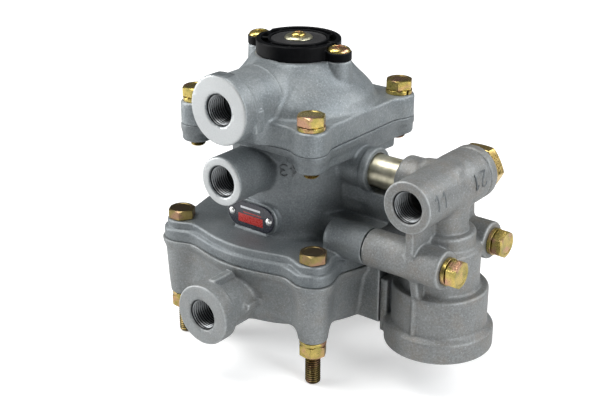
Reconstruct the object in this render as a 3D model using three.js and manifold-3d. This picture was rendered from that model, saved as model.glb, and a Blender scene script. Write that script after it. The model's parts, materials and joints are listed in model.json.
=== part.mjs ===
// Trailer brake control valve with a bolted-on shut-off valve.
// Millimetres, +Z up. The origin is on the axis of the main stack, at the underside of the base housing.
// -Y is the side of the threaded control ports, +X is the side of the shut-off valve.

import * as THREE from 'three';
import { mergeVertices } from 'three/addons/utils/BufferGeometryUtils.js';
import Module from 'manifold-3d';

const wasm = await Module();
wasm.setup();

// ---------------------------------------------------------------- driving dimensions

// Levels along the main stack.
const BASE_FLOOR = 6;
const BASE_JOINT = 33;
const LOWER_FLANGE_TOP = 43.6;
const UPPER_FLANGE_UNDERSIDE = 93;
const COVER_JOINT = 97;
const REGISTER_TOP = 100;
const COVER_FLANGE_TOP = 109;
const DOME_TOP = 132.5;
const EAR_SEAT = 133;
const CAP_TOP = 140.5;

// Bolt circles and screws. All bolts are M8 with 13 mm hexagons, the small screws are M5 and M4.
const STUD_X = 44.5;
const STUD_END = -25;
const COVER_BOLT_X = 37.5;
const COVER_BOLT_TIP = 84.5;
const BOLT_RADIUS = 4;
const BOLT_HOLE_RADIUS = 4.35;
const HEX_ACROSS_FLATS = 13;
const BOLT_HEAD_HEIGHT = 5.4;
const NUT_HEIGHT = 6.5;
const WASHER_THICKNESS = 2.2;
const WASHER_OUTER_RADIUS = 7.2;
const EAR_SCREW_X = 25.8;

// Threaded ports, M16 x 1.5: bore at the thread's minor radius with a chamfered mouth.
const PORT_BORE_RADIUS = 7.2;
const PORT_MOUTH_RADIUS = 8.5;
const COVER_PORT = { z: 117, face: 62.3, boss: 16, rim: 17.8, rimDepth: 8.5, inner: 24 };
const PORT_43 = { z: 80, face: 61.7, boss: 12.7, inner: 33 };
const BASE_PORT = { z: 12.8, face: 78.8, boss: 13.5, rim: 16.1, rimDepth: 9, inner: 36 };
const PORT_22 = { z: 60, face: 58, boss: 14, inner: 16 };

// Main bores of the stack.
const COVER_BORE = 33;
const REGISTER_RADIUS = 36;
const CONTROL_BORE = 20.5;
const SUPPLY_BORE = 19;
const SERVICE_BORE = 38;
const WEB_HOLE = 9.6;
const SEAT_HOLE = 12;
const COLUMN_RADIUS = 35;
const SEAT_TOP = 66;
const GUIDE_SHOULDER = 88;
const RUNNING_GAP = 0.4;

// Shut-off valve, its bolts and the sleeve that joins it to the middle body.
const VALVE_X = 91;
const CROSS_PORT_Z = 80.9;
const CROSS_PORT_FRONT = 34.2;
const CROSS_PORT_BACK = 26.5;
const SLEEVE_Z = 79.7;
const SLEEVE_RADIUS = 8.5;
const SLEEVE_START = 38.4;
const SLEEVE_END = 79.6;
const SLEEVE_BORE = 8.9;
const SLEEVE_SEAL_X = [46, 73.5];
const SIDE_BOLT_Y = 21.8;
const SIDE_BOLT_Z = 48.6;
const SIDE_TUBE_RADIUS = 9.7;
const SIDE_TUBE_END = 107;
const SIDE_JOINT = 63;
const SIDE_GASKET = 0.8;
const SIDE_PASSAGE_Z = 12;
const SHUTOFF_BORE = 20;

// How many flats stand for a full circle.
const COARSE = 12;
const MEDIUM = 16;
const FINE = 20;
const FLANGE_SIDES = 32;

// ---------------------------------------------------------------- materials

const castAluminium = new THREE.MeshStandardMaterial({ color: 0x9ba3a8, roughness: 0.55, metalness: 0.6 });
const zincPlated = new THREE.MeshStandardMaterial({ color: 0xb8a258, roughness: 0.35, metalness: 0.9 });
const brass = new THREE.MeshStandardMaterial({ color: 0xc29a4a, roughness: 0.35, metalness: 0.9 });
const turnedSteel = new THREE.MeshStandardMaterial({ color: 0xa8a48c, roughness: 0.3, metalness: 0.9 });
const springSteel = new THREE.MeshStandardMaterial({ color: 0x6f7275, roughness: 0.4, metalness: 0.9 });
const blackPlastic = new THREE.MeshStandardMaterial({ color: 0x17181a, roughness: 0.45, metalness: 0 });
const blackRubber = new THREE.MeshStandardMaterial({ color: 0x121212, roughness: 0.8, metalness: 0 });
const labelBlack = new THREE.MeshStandardMaterial({ color: 0x20222c, roughness: 0.35, metalness: 0.1 });

// ---------------------------------------------------------------- solids

// A closed three.js geometry as a solid that can be joined and cut.
function solid(geometry) {
  const bare = geometry.clone();
  bare.deleteAttribute('normal');
  bare.deleteAttribute('uv');
  const welded = mergeVertices(bare, 1e-4);
  const index = welded.index.array;
  const corners = [];
  for (let i = 0; i < index.length; i += 3) {
    const [a, b, c] = index.slice(i, i + 3);
    if (a !== b && b !== c && c !== a) corners.push(a, b, c);
  }
  const vertProperties = new Float32Array(welded.attributes.position.array);
  return new wasm.Manifold(new wasm.Mesh({ numProp: 3, vertProperties, triVerts: new Uint32Array(corners) }));
}

function join(first, ...others) {
  return others.reduce((sum, next) => sum.add(next), first);
}

function cut(body, ...tools) {
  return tools.reduce((rest, tool) => rest.subtract(tool), body);
}

// Turns a geometry made along +Z to point another way.
const TURN = {
  up: (geometry) => geometry,
  front: (geometry) => geometry.rotateX(Math.PI / 2),
  back: (geometry) => geometry.rotateX(-Math.PI / 2),
  right: (geometry) => geometry.rotateY(Math.PI / 2),
};

// A body turned about an axis from a profile of [radius, height] points, its outside read upwards.
function turned(profile, { sides = MEDIUM, along = 'up', at = [0, 0, 0] } = {}) {
  const points = profile.map(([radius, height]) => new THREE.Vector2(radius, height));
  const geometry = new THREE.LatheGeometry(points, sides).rotateX(Math.PI / 2);
  return solid(TURN[along](geometry).translate(...at));
}

function rod(radius, from, to, options) {
  return turned([[0, from], [radius, from], [radius, to], [0, to]], options);
}

function ring(inner, outer, from, to, options) {
  return turned([[inner, from], [outer, from], [outer, to], [inner, to], [inner, from]], options);
}

function block(from, to) {
  const size = to.map((value, axis) => value - from[axis]);
  const middle = to.map((value, axis) => (value + from[axis]) / 2);
  return solid(new THREE.BoxGeometry(...size).translate(...middle));
}

// A hexagonal prism with two flats facing +Y and -Y.
function hexPrism(acrossFlats, from, to) {
  const cornerRadius = acrossFlats / Math.sqrt(3);
  const prism = new THREE.CylinderGeometry(cornerRadius, cornerRadius, to - from, 6);
  return solid(prism.rotateX(Math.PI / 2).rotateZ(Math.PI / 2).translate(0, 0, (from + to) / 2));
}

function plate(outline, from, to) {
  const geometry = new THREE.ExtrudeGeometry(outline, { depth: to - from, bevelEnabled: false, curveSegments: 5 });
  return solid(geometry.translate(0, 0, from));
}

// The same tool at every corner of a square of bolts.
const CORNERS = [[1, -1], [-1, -1], [-1, 1], [1, 1]];

function atCorners(halfSpan, makeTool) {
  return CORNERS.map(([x, y]) => makeTool([x * halfSpan, y * halfSpan, 0]));
}

// The cut for a threaded port: a plain bore with a chamfered mouth.
function portBore(inner, face, along, at) {
  const mouthDepth = PORT_MOUTH_RADIUS - PORT_BORE_RADIUS;
  const profile = [
    [0, inner],
    [PORT_BORE_RADIUS, inner],
    [PORT_BORE_RADIUS, face - mouthDepth],
    [PORT_MOUTH_RADIUS + 1, face + 1],
    [0, face + 1],
  ];
  return turned(profile, { along, at });
}

class Helix extends THREE.Curve {
  constructor(radius, from, to, coils) {
    super();
    Object.assign(this, { radius, from, to, coils });
  }

  getPoint(t) {
    const angle = t * this.coils * 2 * Math.PI;
    const height = this.from + t * (this.to - this.from);
    return new THREE.Vector3(this.radius * Math.cos(angle), this.radius * Math.sin(angle), height);
  }
}

function spring(radius, wireRadius, from, to, coils) {
  const wire = new THREE.Shape().absarc(0, 0, wireRadius, 0, 2 * Math.PI);
  const path = new Helix(radius, from + wireRadius, to - wireRadius, coils);
  const options = { steps: coils * 9, curveSegments: 3, extrudePath: path, bevelEnabled: false };
  return solid(new THREE.ExtrudeGeometry(wire, options));
}

// ---------------------------------------------------------------- scene graph

const valve = new THREE.Group();

function piece(name, body, material, parent = valve) {
  const { vertProperties, triVerts } = body.getMesh();
  const geometry = new THREE.BufferGeometry();
  geometry.setAttribute('position', new THREE.BufferAttribute(vertProperties, 3));
  geometry.setIndex(new THREE.BufferAttribute(triVerts, 1));
  geometry.computeVertexNormals();
  const mesh = new THREE.Mesh(geometry, material);
  mesh.name = name;
  parent.add(mesh);
  return mesh;
}

// ---------------------------------------------------------------- castings

// A square flange with round corners about its bolts and slightly hollow sides.
function coverFlangeOutline(corner, lobe, sideHollow) {
  const shape = new THREE.Shape();
  const edge = corner + lobe;
  for (let quarter = 0; quarter < 4; quarter += 1) {
    const turn = (quarter * Math.PI) / 2;
    const place = (x, y) => new THREE.Vector2(x, y).rotateAround(new THREE.Vector2(), turn);
    const start = place(edge, -corner);
    const hollow = place(edge - 2 * sideHollow, 0);
    const end = place(edge, corner);
    const centre = place(corner, corner);
    if (quarter === 0) shape.moveTo(start.x, start.y);
    shape.quadraticCurveTo(hollow.x, hollow.y, end.x, end.y);
    shape.absarc(centre.x, centre.y, lobe, turn, turn + Math.PI / 2);
  }
  return shape;
}

function topCover() {
  const lobe = 8;
  const flange = plate(coverFlangeOutline(COVER_BOLT_X, lobe, 2.5), COVER_JOINT, COVER_FLANGE_TOP);
  const dome = turned(
    [
      [0, COVER_JOINT],
      [40.5, COVER_JOINT],
      [40.5, 112],
      [33.5, 120.5],
      [27, 127],
      [22.3, DOME_TOP],
      [0, DOME_TOP],
    ],
    { sides: FINE },
  );
  const portAt = [0, 0, COVER_PORT.z];
  const boss = rod(COVER_PORT.boss, CAP.radius + 0.6, COVER_PORT.face - 1, { along: 'front', at: portAt });
  const rimStart = COVER_PORT.face - COVER_PORT.rimDepth;
  const rim = rod(COVER_PORT.rim, rimStart, COVER_PORT.face, { along: 'front', at: portAt });
  const bossFoot = block([-13, -50, COVER_JOINT], [13, -20, COVER_PORT.z]);
  const columns = [-1, 1].map((side) => rod(6, 104, EAR_SEAT, { at: [side * EAR_SCREW_X, 0, 0], sides: COARSE }));
  // The joint steps up to a register that centres the cover on the middle body.
  const registerBore = REGISTER_RADIUS + 0.3;
  const bore = turned(
    [
      [0, COVER_JOINT - 1],
      [registerBore, COVER_JOINT - 1],
      [registerBore, REGISTER_TOP],
      [COVER_BORE, REGISTER_TOP],
      [COVER_BORE, 112],
      [13, 128],
      [13, 134],
      [0, 134],
    ],
    { sides: FINE },
  );
  const capSeat = rod(CAP.radius + 0.3, DOME_TOP, 140);
  const earHoles = [-1, 1].map((side) => rod(2.8, 118, 140, { at: [side * EAR_SCREW_X, 0, 0], sides: COARSE }));
  return cut(
    join(flange, dome, boss, rim, bossFoot, ...columns),
    bore,
    capSeat,
    ...earHoles,
    portBore(COVER_PORT.inner, COVER_PORT.face, 'front', portAt),
    ...atCorners(COVER_BOLT_X, (at) => rod(BOLT_HOLE_RADIUS, COVER_JOINT - 1, 110, { at, sides: COARSE })),
  );
}

// A pad with round ends, upright on the front of the middle body, that carries the label.
const LABEL = { x: -2.7, z: 52.3, halfLength: 16, halfHeight: 7.8, padFront: 36, plateFront: 36.9 };

function labelOutline(shrink = 0) {
  const straight = LABEL.halfLength - LABEL.halfHeight;
  const radius = LABEL.halfHeight - shrink;
  const shape = new THREE.Shape();
  shape.absarc(straight, 0, radius, -Math.PI / 2, Math.PI / 2);
  shape.absarc(-straight, 0, radius, Math.PI / 2, 1.5 * Math.PI);
  return shape;
}

function uprightPlate(outline, back, front) {
  const geometry = new THREE.ExtrudeGeometry(outline, { depth: front - back, bevelEnabled: false, curveSegments: 8 });
  return solid(geometry.translate(0, 0, back).rotateX(Math.PI / 2).translate(LABEL.x, 0, LABEL.z));
}

const RIVET_X = [LABEL.x - 12.4, LABEL.x + 12.4];

function middleBody() {
  const lowerFlange = join(
    rod(57, BASE_JOINT, LOWER_FLANGE_TOP, { sides: FLANGE_SIDES }),
    block([-50, -50, BASE_JOINT], [50, 50, LOWER_FLANGE_TOP]),
    ...atCorners(STUD_X, (at) => rod(9.5, BASE_JOINT, LOWER_FLANGE_TOP, { at })),
  );
  const upperFlange = plate(coverFlangeOutline(COVER_BOLT_X, 8, 2.5), UPPER_FLANGE_UNDERSIDE, COVER_JOINT);
  const register = rod(REGISTER_RADIUS, UPPER_FLANGE_UNDERSIDE, REGISTER_TOP, { sides: FINE });
  const upperBosses = atCorners(COVER_BOLT_X, (at) => rod(8, 86.5, UPPER_FLANGE_UNDERSIDE + 1, { at }));
  const barrel = turned(
    [[0, 40], [38, 40], [COLUMN_RADIUS, 47], [COLUMN_RADIUS, 84], [40, 94], [0, 94]],
    { sides: FINE },
  );
  const port43 = rod(PORT_43.boss, 10, PORT_43.face, { along: 'front', at: [0, 0, PORT_43.z] });
  const port43Rib = block([-3.5, -38, PORT_43.z], [3.5, -20, 95]);
  const port22 = rod(PORT_22.boss, 10, PORT_22.face, { along: 'back', at: [0, 0, PORT_22.z] });
  const labelPad = uprightPlate(labelOutline(-0.8), 10, LABEL.padFront);
  const labelFoot = block([LABEL.x - 12, -LABEL.padFront, 42], [LABEL.x + 12, -10, LABEL.z]);
  const sleeveBoss = rod(11.5, 10, 51, { along: 'right', at: [0, 0, SLEEVE_Z] });
  const sideBlock = block([10, -6.5, 50], [SIDE_JOINT, 6.5, 69]);
  const sideLedge = block([10, -17, 41], [SIDE_JOINT, 17, 55.5]);
  const sideNeck = block([10, -6.5, 65], [50, 6.5, SLEEVE_Z]);
  const rightSkirt = block([20, -34, 86.6], [42.5, 34, 94]);
  const tubes = [-1, 1].map((side) =>
    rod(SIDE_TUBE_RADIUS, 34, SIDE_JOINT, { along: 'right', at: [0, side * SIDE_BOLT_Y, SIDE_BOLT_Z] }));

  const bores = turned(
    [
      [0, 32],
      [SERVICE_BORE, 32],
      [SERVICE_BORE, 39.5],
      [WEB_HOLE, 39.5],
      [WEB_HOLE, 48],
      [SUPPLY_BORE, 48],
      [SUPPLY_BORE, SEAT_TOP - 4],
      [SEAT_HOLE, SEAT_TOP - 4],
      [SEAT_HOLE, SEAT_TOP],
      [SUPPLY_BORE, SEAT_TOP],
      [SUPPLY_BORE, GUIDE_SHOULDER],
      [CONTROL_BORE, GUIDE_SHOULDER],
      [CONTROL_BORE, 101],
      [0, 101],
    ],
    { sides: FINE },
  );
  // Port 43 feeds the hand brake chamber through a slanting drilling.
  const drilling = new THREE.CylinderGeometry(2.2, 2.2, 24, COARSE).rotateX(Math.PI / 2);
  const slantingFeed = solid(drilling.rotateX(-Math.PI / 5).translate(0, -26, 85));
  const sleeveSocket = rod(SLEEVE_BORE, SLEEVE_START - RUNNING_GAP, 52, { along: 'right', at: [0, 0, SLEEVE_Z] });
  const supplyPassage = rod(6, 15, 40, { along: 'right', at: [0, 0, SLEEVE_Z], sides: COARSE });
  const sideBoltHoles = [-1, 1].map((side) =>
    rod(BOLT_HOLE_RADIUS, 45, 70, { along: 'right', at: [0, side * SIDE_BOLT_Y, SIDE_BOLT_Z], sides: COARSE }));
  const rivetHoles = RIVET_X.map((x) => rod(1.6, 30, 40, { along: 'front', at: [x, 0, LABEL.z], sides: 8 }));
  return cut(
    join(
      lowerFlange, upperFlange, register, ...upperBosses, barrel, rightSkirt, port43, port43Rib, port22,
      labelPad, labelFoot, sleeveBoss, sideBlock, sideLedge, sideNeck, ...tubes,
    ),
    bores,
    slantingFeed,
    sleeveSocket,
    supplyPassage,
    ...sideBoltHoles,
    ...rivetHoles,
    portBore(PORT_43.inner, PORT_43.face, 'front', [0, 0, PORT_43.z]),
    portBore(PORT_22.inner, PORT_22.face, 'back', [0, 0, PORT_22.z]),
    ...atCorners(STUD_X, (at) => rod(BOLT_HOLE_RADIUS, 32, 50, { at, sides: COARSE })),
    ...atCorners(COVER_BOLT_X, (at) => rod(BOLT_HOLE_RADIUS, 80, 101, { at, sides: COARSE })),
  );
}

function baseHousing() {
  const drum = join(
    rod(52, 0, BASE_JOINT, { sides: FLANGE_SIDES }),
    block([-47.5, -47.5, 4], [47.5, 47.5, BASE_JOINT]),
  );
  const lip = join(
    turned([[0, 22], [52, 22], [57, 27], [57, BASE_JOINT], [0, BASE_JOINT]], { sides: FLANGE_SIDES }),
    block([-50, -50, 26], [50, 50, BASE_JOINT]),
  );
  const columns = atCorners(STUD_X, (at) =>
    turned([[0, 0], [7.5, 0], [7.5, 8], [9.5, 22], [9.5, BASE_JOINT], [0, BASE_JOINT]], { at }));
  const portAt = [0, 0, BASE_PORT.z];
  const boss = rod(BASE_PORT.boss, 40, BASE_PORT.face - 1, { along: 'front', at: portAt });
  const rimStart = BASE_PORT.face - BASE_PORT.rimDepth;
  const rim = rod(BASE_PORT.rim, rimStart, BASE_PORT.face, { along: 'front', at: portAt });
  const gusset = block([-2.5, -72, 20], [2.5, -45, 29.5]);
  const sideBlock = block([30, -14, 2], [SIDE_JOINT, 14, 28]);
  const bore = rod(SERVICE_BORE, BASE_FLOOR, 34, { sides: FINE });
  const sidePassage = rod(3.5, 30, 70, { along: 'right', at: [0, 0, SIDE_PASSAGE_Z], sides: COARSE });
  return cut(
    join(drum, lip, ...columns, boss, rim, gusset, sideBlock),
    bore,
    sidePassage,
    portBore(BASE_PORT.inner, BASE_PORT.face, 'front', portAt),
    ...atCorners(STUD_X, (at) => rod(BOLT_HOLE_RADIUS, -1, 34, { at, sides: COARSE })),
  );
}

const VALVE_PAD = SIDE_JOINT + SIDE_GASKET;

function shutoffBody() {
  const axis = [VALVE_X, 0, 0];
  const stack = turned(
    [
      [0, -3], [27.8, -3], [27.8, 7], [24.2, 9], [24.2, 29], [19.3, 31],
      [19.3, 50.5], [16.5, 51.5], [16.5, 58.5], [12.3, 60], [12.3, 78], [0, 78],
    ],
    { at: axis, sides: FINE },
  );
  const crossAt = [VALVE_X, 0, CROSS_PORT_Z];
  const crossTube = rod(13, -CROSS_PORT_BACK, CROSS_PORT_FRONT, { along: 'front', at: crossAt });
  const crossCollar = rod(14.4, 9, CROSS_PORT_BACK, { along: 'back', at: crossAt });
  const sleeveSocket = rod(12, 68, VALVE_X, { along: 'right', at: [0, 0, SLEEVE_Z] });
  const ridge = rod(5.5, 74, 98, { along: 'right', at: [0, 0, 89.5], sides: COARSE });
  const tubes = [-1, 1].map((side) =>
    rod(SIDE_TUBE_RADIUS, VALVE_PAD, SIDE_TUBE_END, { along: 'right', at: [0, side * SIDE_BOLT_Y, SIDE_BOLT_Z] }));
  const web = new THREE.Shape([[-32, 68], [-32, 58], [-22, 28], [22, 28], [27, 58], [26, 68]].map(
    ([y, z]) => new THREE.Vector2(y, z)));
  const webPlate = new THREE.ExtrudeGeometry(web, { depth: 5, bevelEnabled: false });
  // The outline is drawn in Y and Z, so the extrusion's own axis becomes X.
  webPlate.rotateX(Math.PI / 2).rotateZ(Math.PI / 2).translate(VALVE_X - 2, 0, 0);
  const pad = block([VALVE_PAD, -15, -2.2], [VALVE_X - 15, 15, 28]);
  // The collar is planed off where it would reach past the joint face.
  const jointTrim = block([VALVE_PAD - 5, -30, -4], [VALVE_PAD, 30, 10]);
  const bore = turned(
    [[0, -4], [SHUTOFF_BORE, -4], [SHUTOFF_BORE, 28], [12, 28], [12, 56], [7, 56], [7, CROSS_PORT_Z], [0, CROSS_PORT_Z]],
    { at: axis, sides: FINE },
  );
  const ringGroove = ring(18, 21.4, -1.5, 0.3, { at: axis, sides: FINE });
  const sidePassage = rod(3.5, 60, 73, { along: 'right', at: [0, 0, SIDE_PASSAGE_Z], sides: COARSE });
  const socketBore = rod(SLEEVE_BORE, 67, SLEEVE_END + RUNNING_GAP, { along: 'right', at: [0, 0, SLEEVE_Z] });
  const socketFeed = rod(6, 70, VALVE_X, { along: 'right', at: [0, 0, SLEEVE_Z], sides: COARSE });
  const boltHoles = [-1, 1].map((side) =>
    rod(BOLT_HOLE_RADIUS, 60, 108, { along: 'right', at: [0, side * SIDE_BOLT_Y, SIDE_BOLT_Z], sides: COARSE }));
  return cut(
    join(stack, crossTube, crossCollar, sleeveSocket, ridge, ...tubes, solid(webPlate), pad),
    jointTrim,
    bore,
    ringGroove,
    sidePassage,
    socketBore,
    socketFeed,
    ...boltHoles,
    portBore(-2, CROSS_PORT_FRONT, 'front', crossAt),
    portBore(-2, CROSS_PORT_BACK, 'back', crossAt),
  );
}

function buildCastings() {
  piece('top_cover', topCover(), castAluminium);
  piece('middle_body', middleBody(), castAluminium);
  piece('base_housing', baseHousing(), castAluminium);
  piece('shutoff_body', shutoffBody(), castAluminium);
}

// ---------------------------------------------------------------- sleeve, gasket and plug

function buildConnections() {
  const grooveHalf = 1.2;
  const sealHalf = 0.9;
  const sleeve = cut(
    ring(5.5, SLEEVE_RADIUS, SLEEVE_START, SLEEVE_END),
    ...SLEEVE_SEAL_X.map((x) => ring(7.1, 10, x - grooveHalf, x + grooveHalf)),
  );
  const sleeveLine = new THREE.Group();
  sleeveLine.rotation.y = Math.PI / 2;
  sleeveLine.position.z = SLEEVE_Z;
  valve.add(sleeveLine);
  piece('connecting_sleeve', sleeve, turnedSteel, sleeveLine);
  SLEEVE_SEAL_X.forEach((x, i) => {
    const seal = ring(7.3, 8.7, x - sealHalf, x + sealHalf);
    piece(`sleeve_seal_${['inner', 'outer'][i]}`, seal, blackRubber, sleeveLine);
  });

  const gasketHole = rod(4, 60, 66, { along: 'right', at: [0, 0, SIDE_PASSAGE_Z], sides: COARSE });
  const gasket = cut(block([SIDE_JOINT, -13, 3], [VALVE_PAD, 13, 26]), gasketHole);
  piece('side_joint_gasket', gasket, blackRubber);

  // The plug closes the back end of the cross port.
  const plugLine = new THREE.Group();
  plugLine.rotation.x = -Math.PI / 2;
  plugLine.position.set(VALVE_X, 0, CROSS_PORT_Z);
  valve.add(plugLine);
  const sealThickness = 1.6;
  const sealStart = CROSS_PORT_BACK + 0.3;
  const hexStart = sealStart + sealThickness + 0.1;
  piece('port_21_seal_ring', ring(8.7, 11.8, sealStart, sealStart + sealThickness), brass, plugLine);
  const plug = join(hexPrism(23, hexStart, hexStart + 7), rod(6.9, 13, hexStart + 1));
  piece('port_21_plug', plug, brass, plugLine);
}

// ---------------------------------------------------------------- vent cap

const CAP = { radius: 21.9, channelOuter: 19.2, channelInner: 15.8, ringInner: 14.6, channelFloor: 136, flapSeat: 138.6 };

function ventCap() {
  const body = turned(
    [
      [0, DOME_TOP + 2], [17, DOME_TOP + 2], [17, DOME_TOP], [CAP.radius, DOME_TOP], [CAP.radius, CAP_TOP],
      [CAP.channelOuter, CAP_TOP], [CAP.channelOuter, CAP.channelFloor], [CAP.channelInner, CAP.channelFloor],
      [CAP.channelInner, CAP_TOP - 0.3], [CAP.ringInner, CAP_TOP - 0.3], [CAP.ringInner, CAP.flapSeat],
      [0, CAP.flapSeat],
    ],
    { sides: FINE },
  );
  const ribCount = 8;
  const ribs = Array.from({ length: ribCount }, (_, i) => {
    const length = CAP.channelOuter - CAP.channelInner + 1;
    const rib = new THREE.BoxGeometry(length, 1.6, 4);
    rib.translate((CAP.channelOuter + CAP.channelInner) / 2, 0, CAP.channelFloor + 1.7);
    return solid(rib.rotateZ(((i + 0.5) * 2 * Math.PI) / ribCount));
  });
  const ears = [-1, 1].map((side) => rod(6, EAR_SEAT, EAR_SEAT + 5, { at: [side * EAR_SCREW_X, 0, 0] }));
  const neck = block([-25, -5, EAR_SEAT], [25, 5, EAR_SEAT + 5]);
  const neckGap = block([-18, -6, DOME_TOP - 1], [18, 6, CAP_TOP]);
  const ventCount = 6;
  const vents = Array.from({ length: ventCount }, (_, i) => {
    const angle = (i * 2 * Math.PI) / ventCount;
    return rod(2.6, 130, 139, { at: [9.5 * Math.cos(angle), 9.5 * Math.sin(angle), 0], sides: 8 });
  });
  const earHoles = [-1, 1].map((side) => rod(2.9, EAR_SEAT - 1, EAR_SEAT + 5, { at: [side * EAR_SCREW_X, 0, 0], sides: COARSE }));
  const headPockets = [-1, 1].map((side) => rod(6.1, EAR_SEAT + 4, CAP_TOP + 1, { at: [side * EAR_SCREW_X, 0, 0] }));
  const centreHole = rod(2.4, 130, 140, { sides: COARSE });
  return cut(join(body, ...ribs, ...ears, cut(neck, neckGap)), ...vents, ...earHoles, ...headPockets, centreHole);
}

// A raised round head on a plain shank, made along +Z with its seat at z = 0.
function roundHeadScrew(headRadius, headHeight, shankRadius, shankLength) {
  return turned(
    [
      [0, -shankLength],
      [shankRadius, -shankLength],
      [shankRadius, 0],
      [headRadius, 0],
      [headRadius, headHeight * 0.35],
      [headRadius * 0.7, headHeight * 0.85],
      [0, headHeight],
    ],
    { sides: COARSE },
  );
}

function buildCap() {
  piece('vent_cap', ventCap(), blackPlastic);
  piece('exhaust_flap', ring(2.4, 14.2, CAP.flapSeat, 139.9, { sides: FINE }), blackRubber);
  piece('cap_washer', ring(2.4, 7.3, 139.9, 141.4), zincPlated);
  const centreScrew = piece('cap_centre_screw', roundHeadScrew(3.6, 1.9, 2, 8), zincPlated);
  centreScrew.position.z = 141.4;
  [['left', -1], ['right', 1]].forEach(([word, side]) => {
    const screw = piece(`cap_ear_screw_${word}`, roundHeadScrew(5.8, 3.2, 2.5, 14), zincPlated);
    screw.position.set(side * EAR_SCREW_X, 0, EAR_SEAT + 4);
  });
}

// ---------------------------------------------------------------- bolts, nuts and washers

// A hexagon bolt made along +Z with the underside of its head at z = 0.
function hexBolt(length) {
  return join(
    hexPrism(HEX_ACROSS_FLATS, 0, BOLT_HEAD_HEIGHT),
    turned([[0, -length], [BOLT_RADIUS - 0.8, -length], [BOLT_RADIUS, 0.8 - length], [BOLT_RADIUS, 1], [0, 1]], { sides: COARSE }),
  );
}

const washer = () => ring(BOLT_HOLE_RADIUS, WASHER_OUTER_RADIUS, 0, WASHER_THICKNESS, { sides: COARSE });
const CORNER_WORDS = ['front_right', 'front_left', 'rear_left', 'rear_right'];

function buildFasteners() {
  const coverSeat = COVER_FLANGE_TOP + WASHER_THICKNESS;
  CORNERS.forEach(([x, y], i) => {
    const word = CORNER_WORDS[i];
    const coverBolt = piece(`cover_bolt_${word}`, hexBolt(coverSeat - COVER_BOLT_TIP), zincPlated);
    coverBolt.position.set(x * COVER_BOLT_X, y * COVER_BOLT_X, coverSeat);
    const coverWasher = piece(`cover_bolt_washer_${word}`, washer(), zincPlated);
    coverWasher.position.set(x * COVER_BOLT_X, y * COVER_BOLT_X, COVER_FLANGE_TOP);

    const flangeBolt = piece(`flange_bolt_${word}`, hexBolt(LOWER_FLANGE_TOP - STUD_END), zincPlated);
    flangeBolt.position.set(x * STUD_X, y * STUD_X, LOWER_FLANGE_TOP);
    const nutWasher = piece(`stud_washer_${word}`, washer(), zincPlated);
    nutWasher.position.set(x * STUD_X, y * STUD_X, -WASHER_THICKNESS);
    const nutBody = cut(hexPrism(HEX_ACROSS_FLATS, 0, NUT_HEIGHT), rod(BOLT_HOLE_RADIUS, -1, NUT_HEIGHT + 1, { sides: COARSE }));
    const nut = piece(`stud_nut_${word}`, nutBody, zincPlated);
    nut.position.set(x * STUD_X, y * STUD_X, -WASHER_THICKNESS - NUT_HEIGHT);
  });

  const gap = 0.3;
  const boltLine = new THREE.Group();
  boltLine.rotation.y = Math.PI / 2;
  boltLine.position.set(SIDE_TUBE_END + gap, 0, SIDE_BOLT_Z);
  valve.add(boltLine);
  [['front', -1], ['rear', 1]].forEach(([word, side]) => {
    const sideBolt = piece(`side_bolt_${word}`, hexBolt(60), zincPlated, boltLine);
    sideBolt.position.set(0, side * SIDE_BOLT_Y, WASHER_THICKNESS + gap);
    const sideWasher = piece(`side_bolt_washer_${word}`, washer(), zincPlated, boltLine);
    sideWasher.position.set(0, side * SIDE_BOLT_Y, 0);
  });
}

// ---------------------------------------------------------------- label

function buildLabel() {
  const holes = RIVET_X.map((x) => rod(1.6, 30, 40, { along: 'front', at: [x, 0, LABEL.z], sides: 8 }));
  piece('label_plate', cut(uprightPlate(labelOutline(0.6), LABEL.padFront, LABEL.plateFront), ...holes), labelBlack);
  const rivet = turned([[0, -4], [1.3, -4], [1.3, 0], [2, 0], [1.4, 0.8], [0, 1]], { sides: 8, along: 'front' });
  RIVET_X.forEach((x, i) => {
    const mesh = piece(`label_rivet_${['left', 'right'][i]}`, rivet, turnedSteel);
    mesh.position.set(x, -LABEL.plateFront, LABEL.z);
  });
}

// ---------------------------------------------------------------- pistons, relay valve and springs

// A piston of one head with a seal groove: bottom and top are the head's faces.
const SEAL = { depth: 2.6, height: 2.4, gap: 0.2 };

function pistonParts(bore, bottom, top, hub, sides = FINE) {
  const radius = bore - RUNNING_GAP;
  const middle = (bottom + top) / 2;
  const grooveLow = middle - SEAL.height / 2;
  const grooveHigh = middle + SEAL.height / 2;
  const grooveRadius = radius - SEAL.depth;
  const head = ring(hub, radius, bottom, top, { sides });
  const groove = ring(grooveRadius, bore + 1, grooveLow, grooveHigh, { sides });
  const seal = ring(grooveRadius + SEAL.gap, bore - SEAL.gap, grooveLow + SEAL.gap, grooveHigh - SEAL.gap, { sides });
  return { head: cut(head, groove), seal };
}

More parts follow.
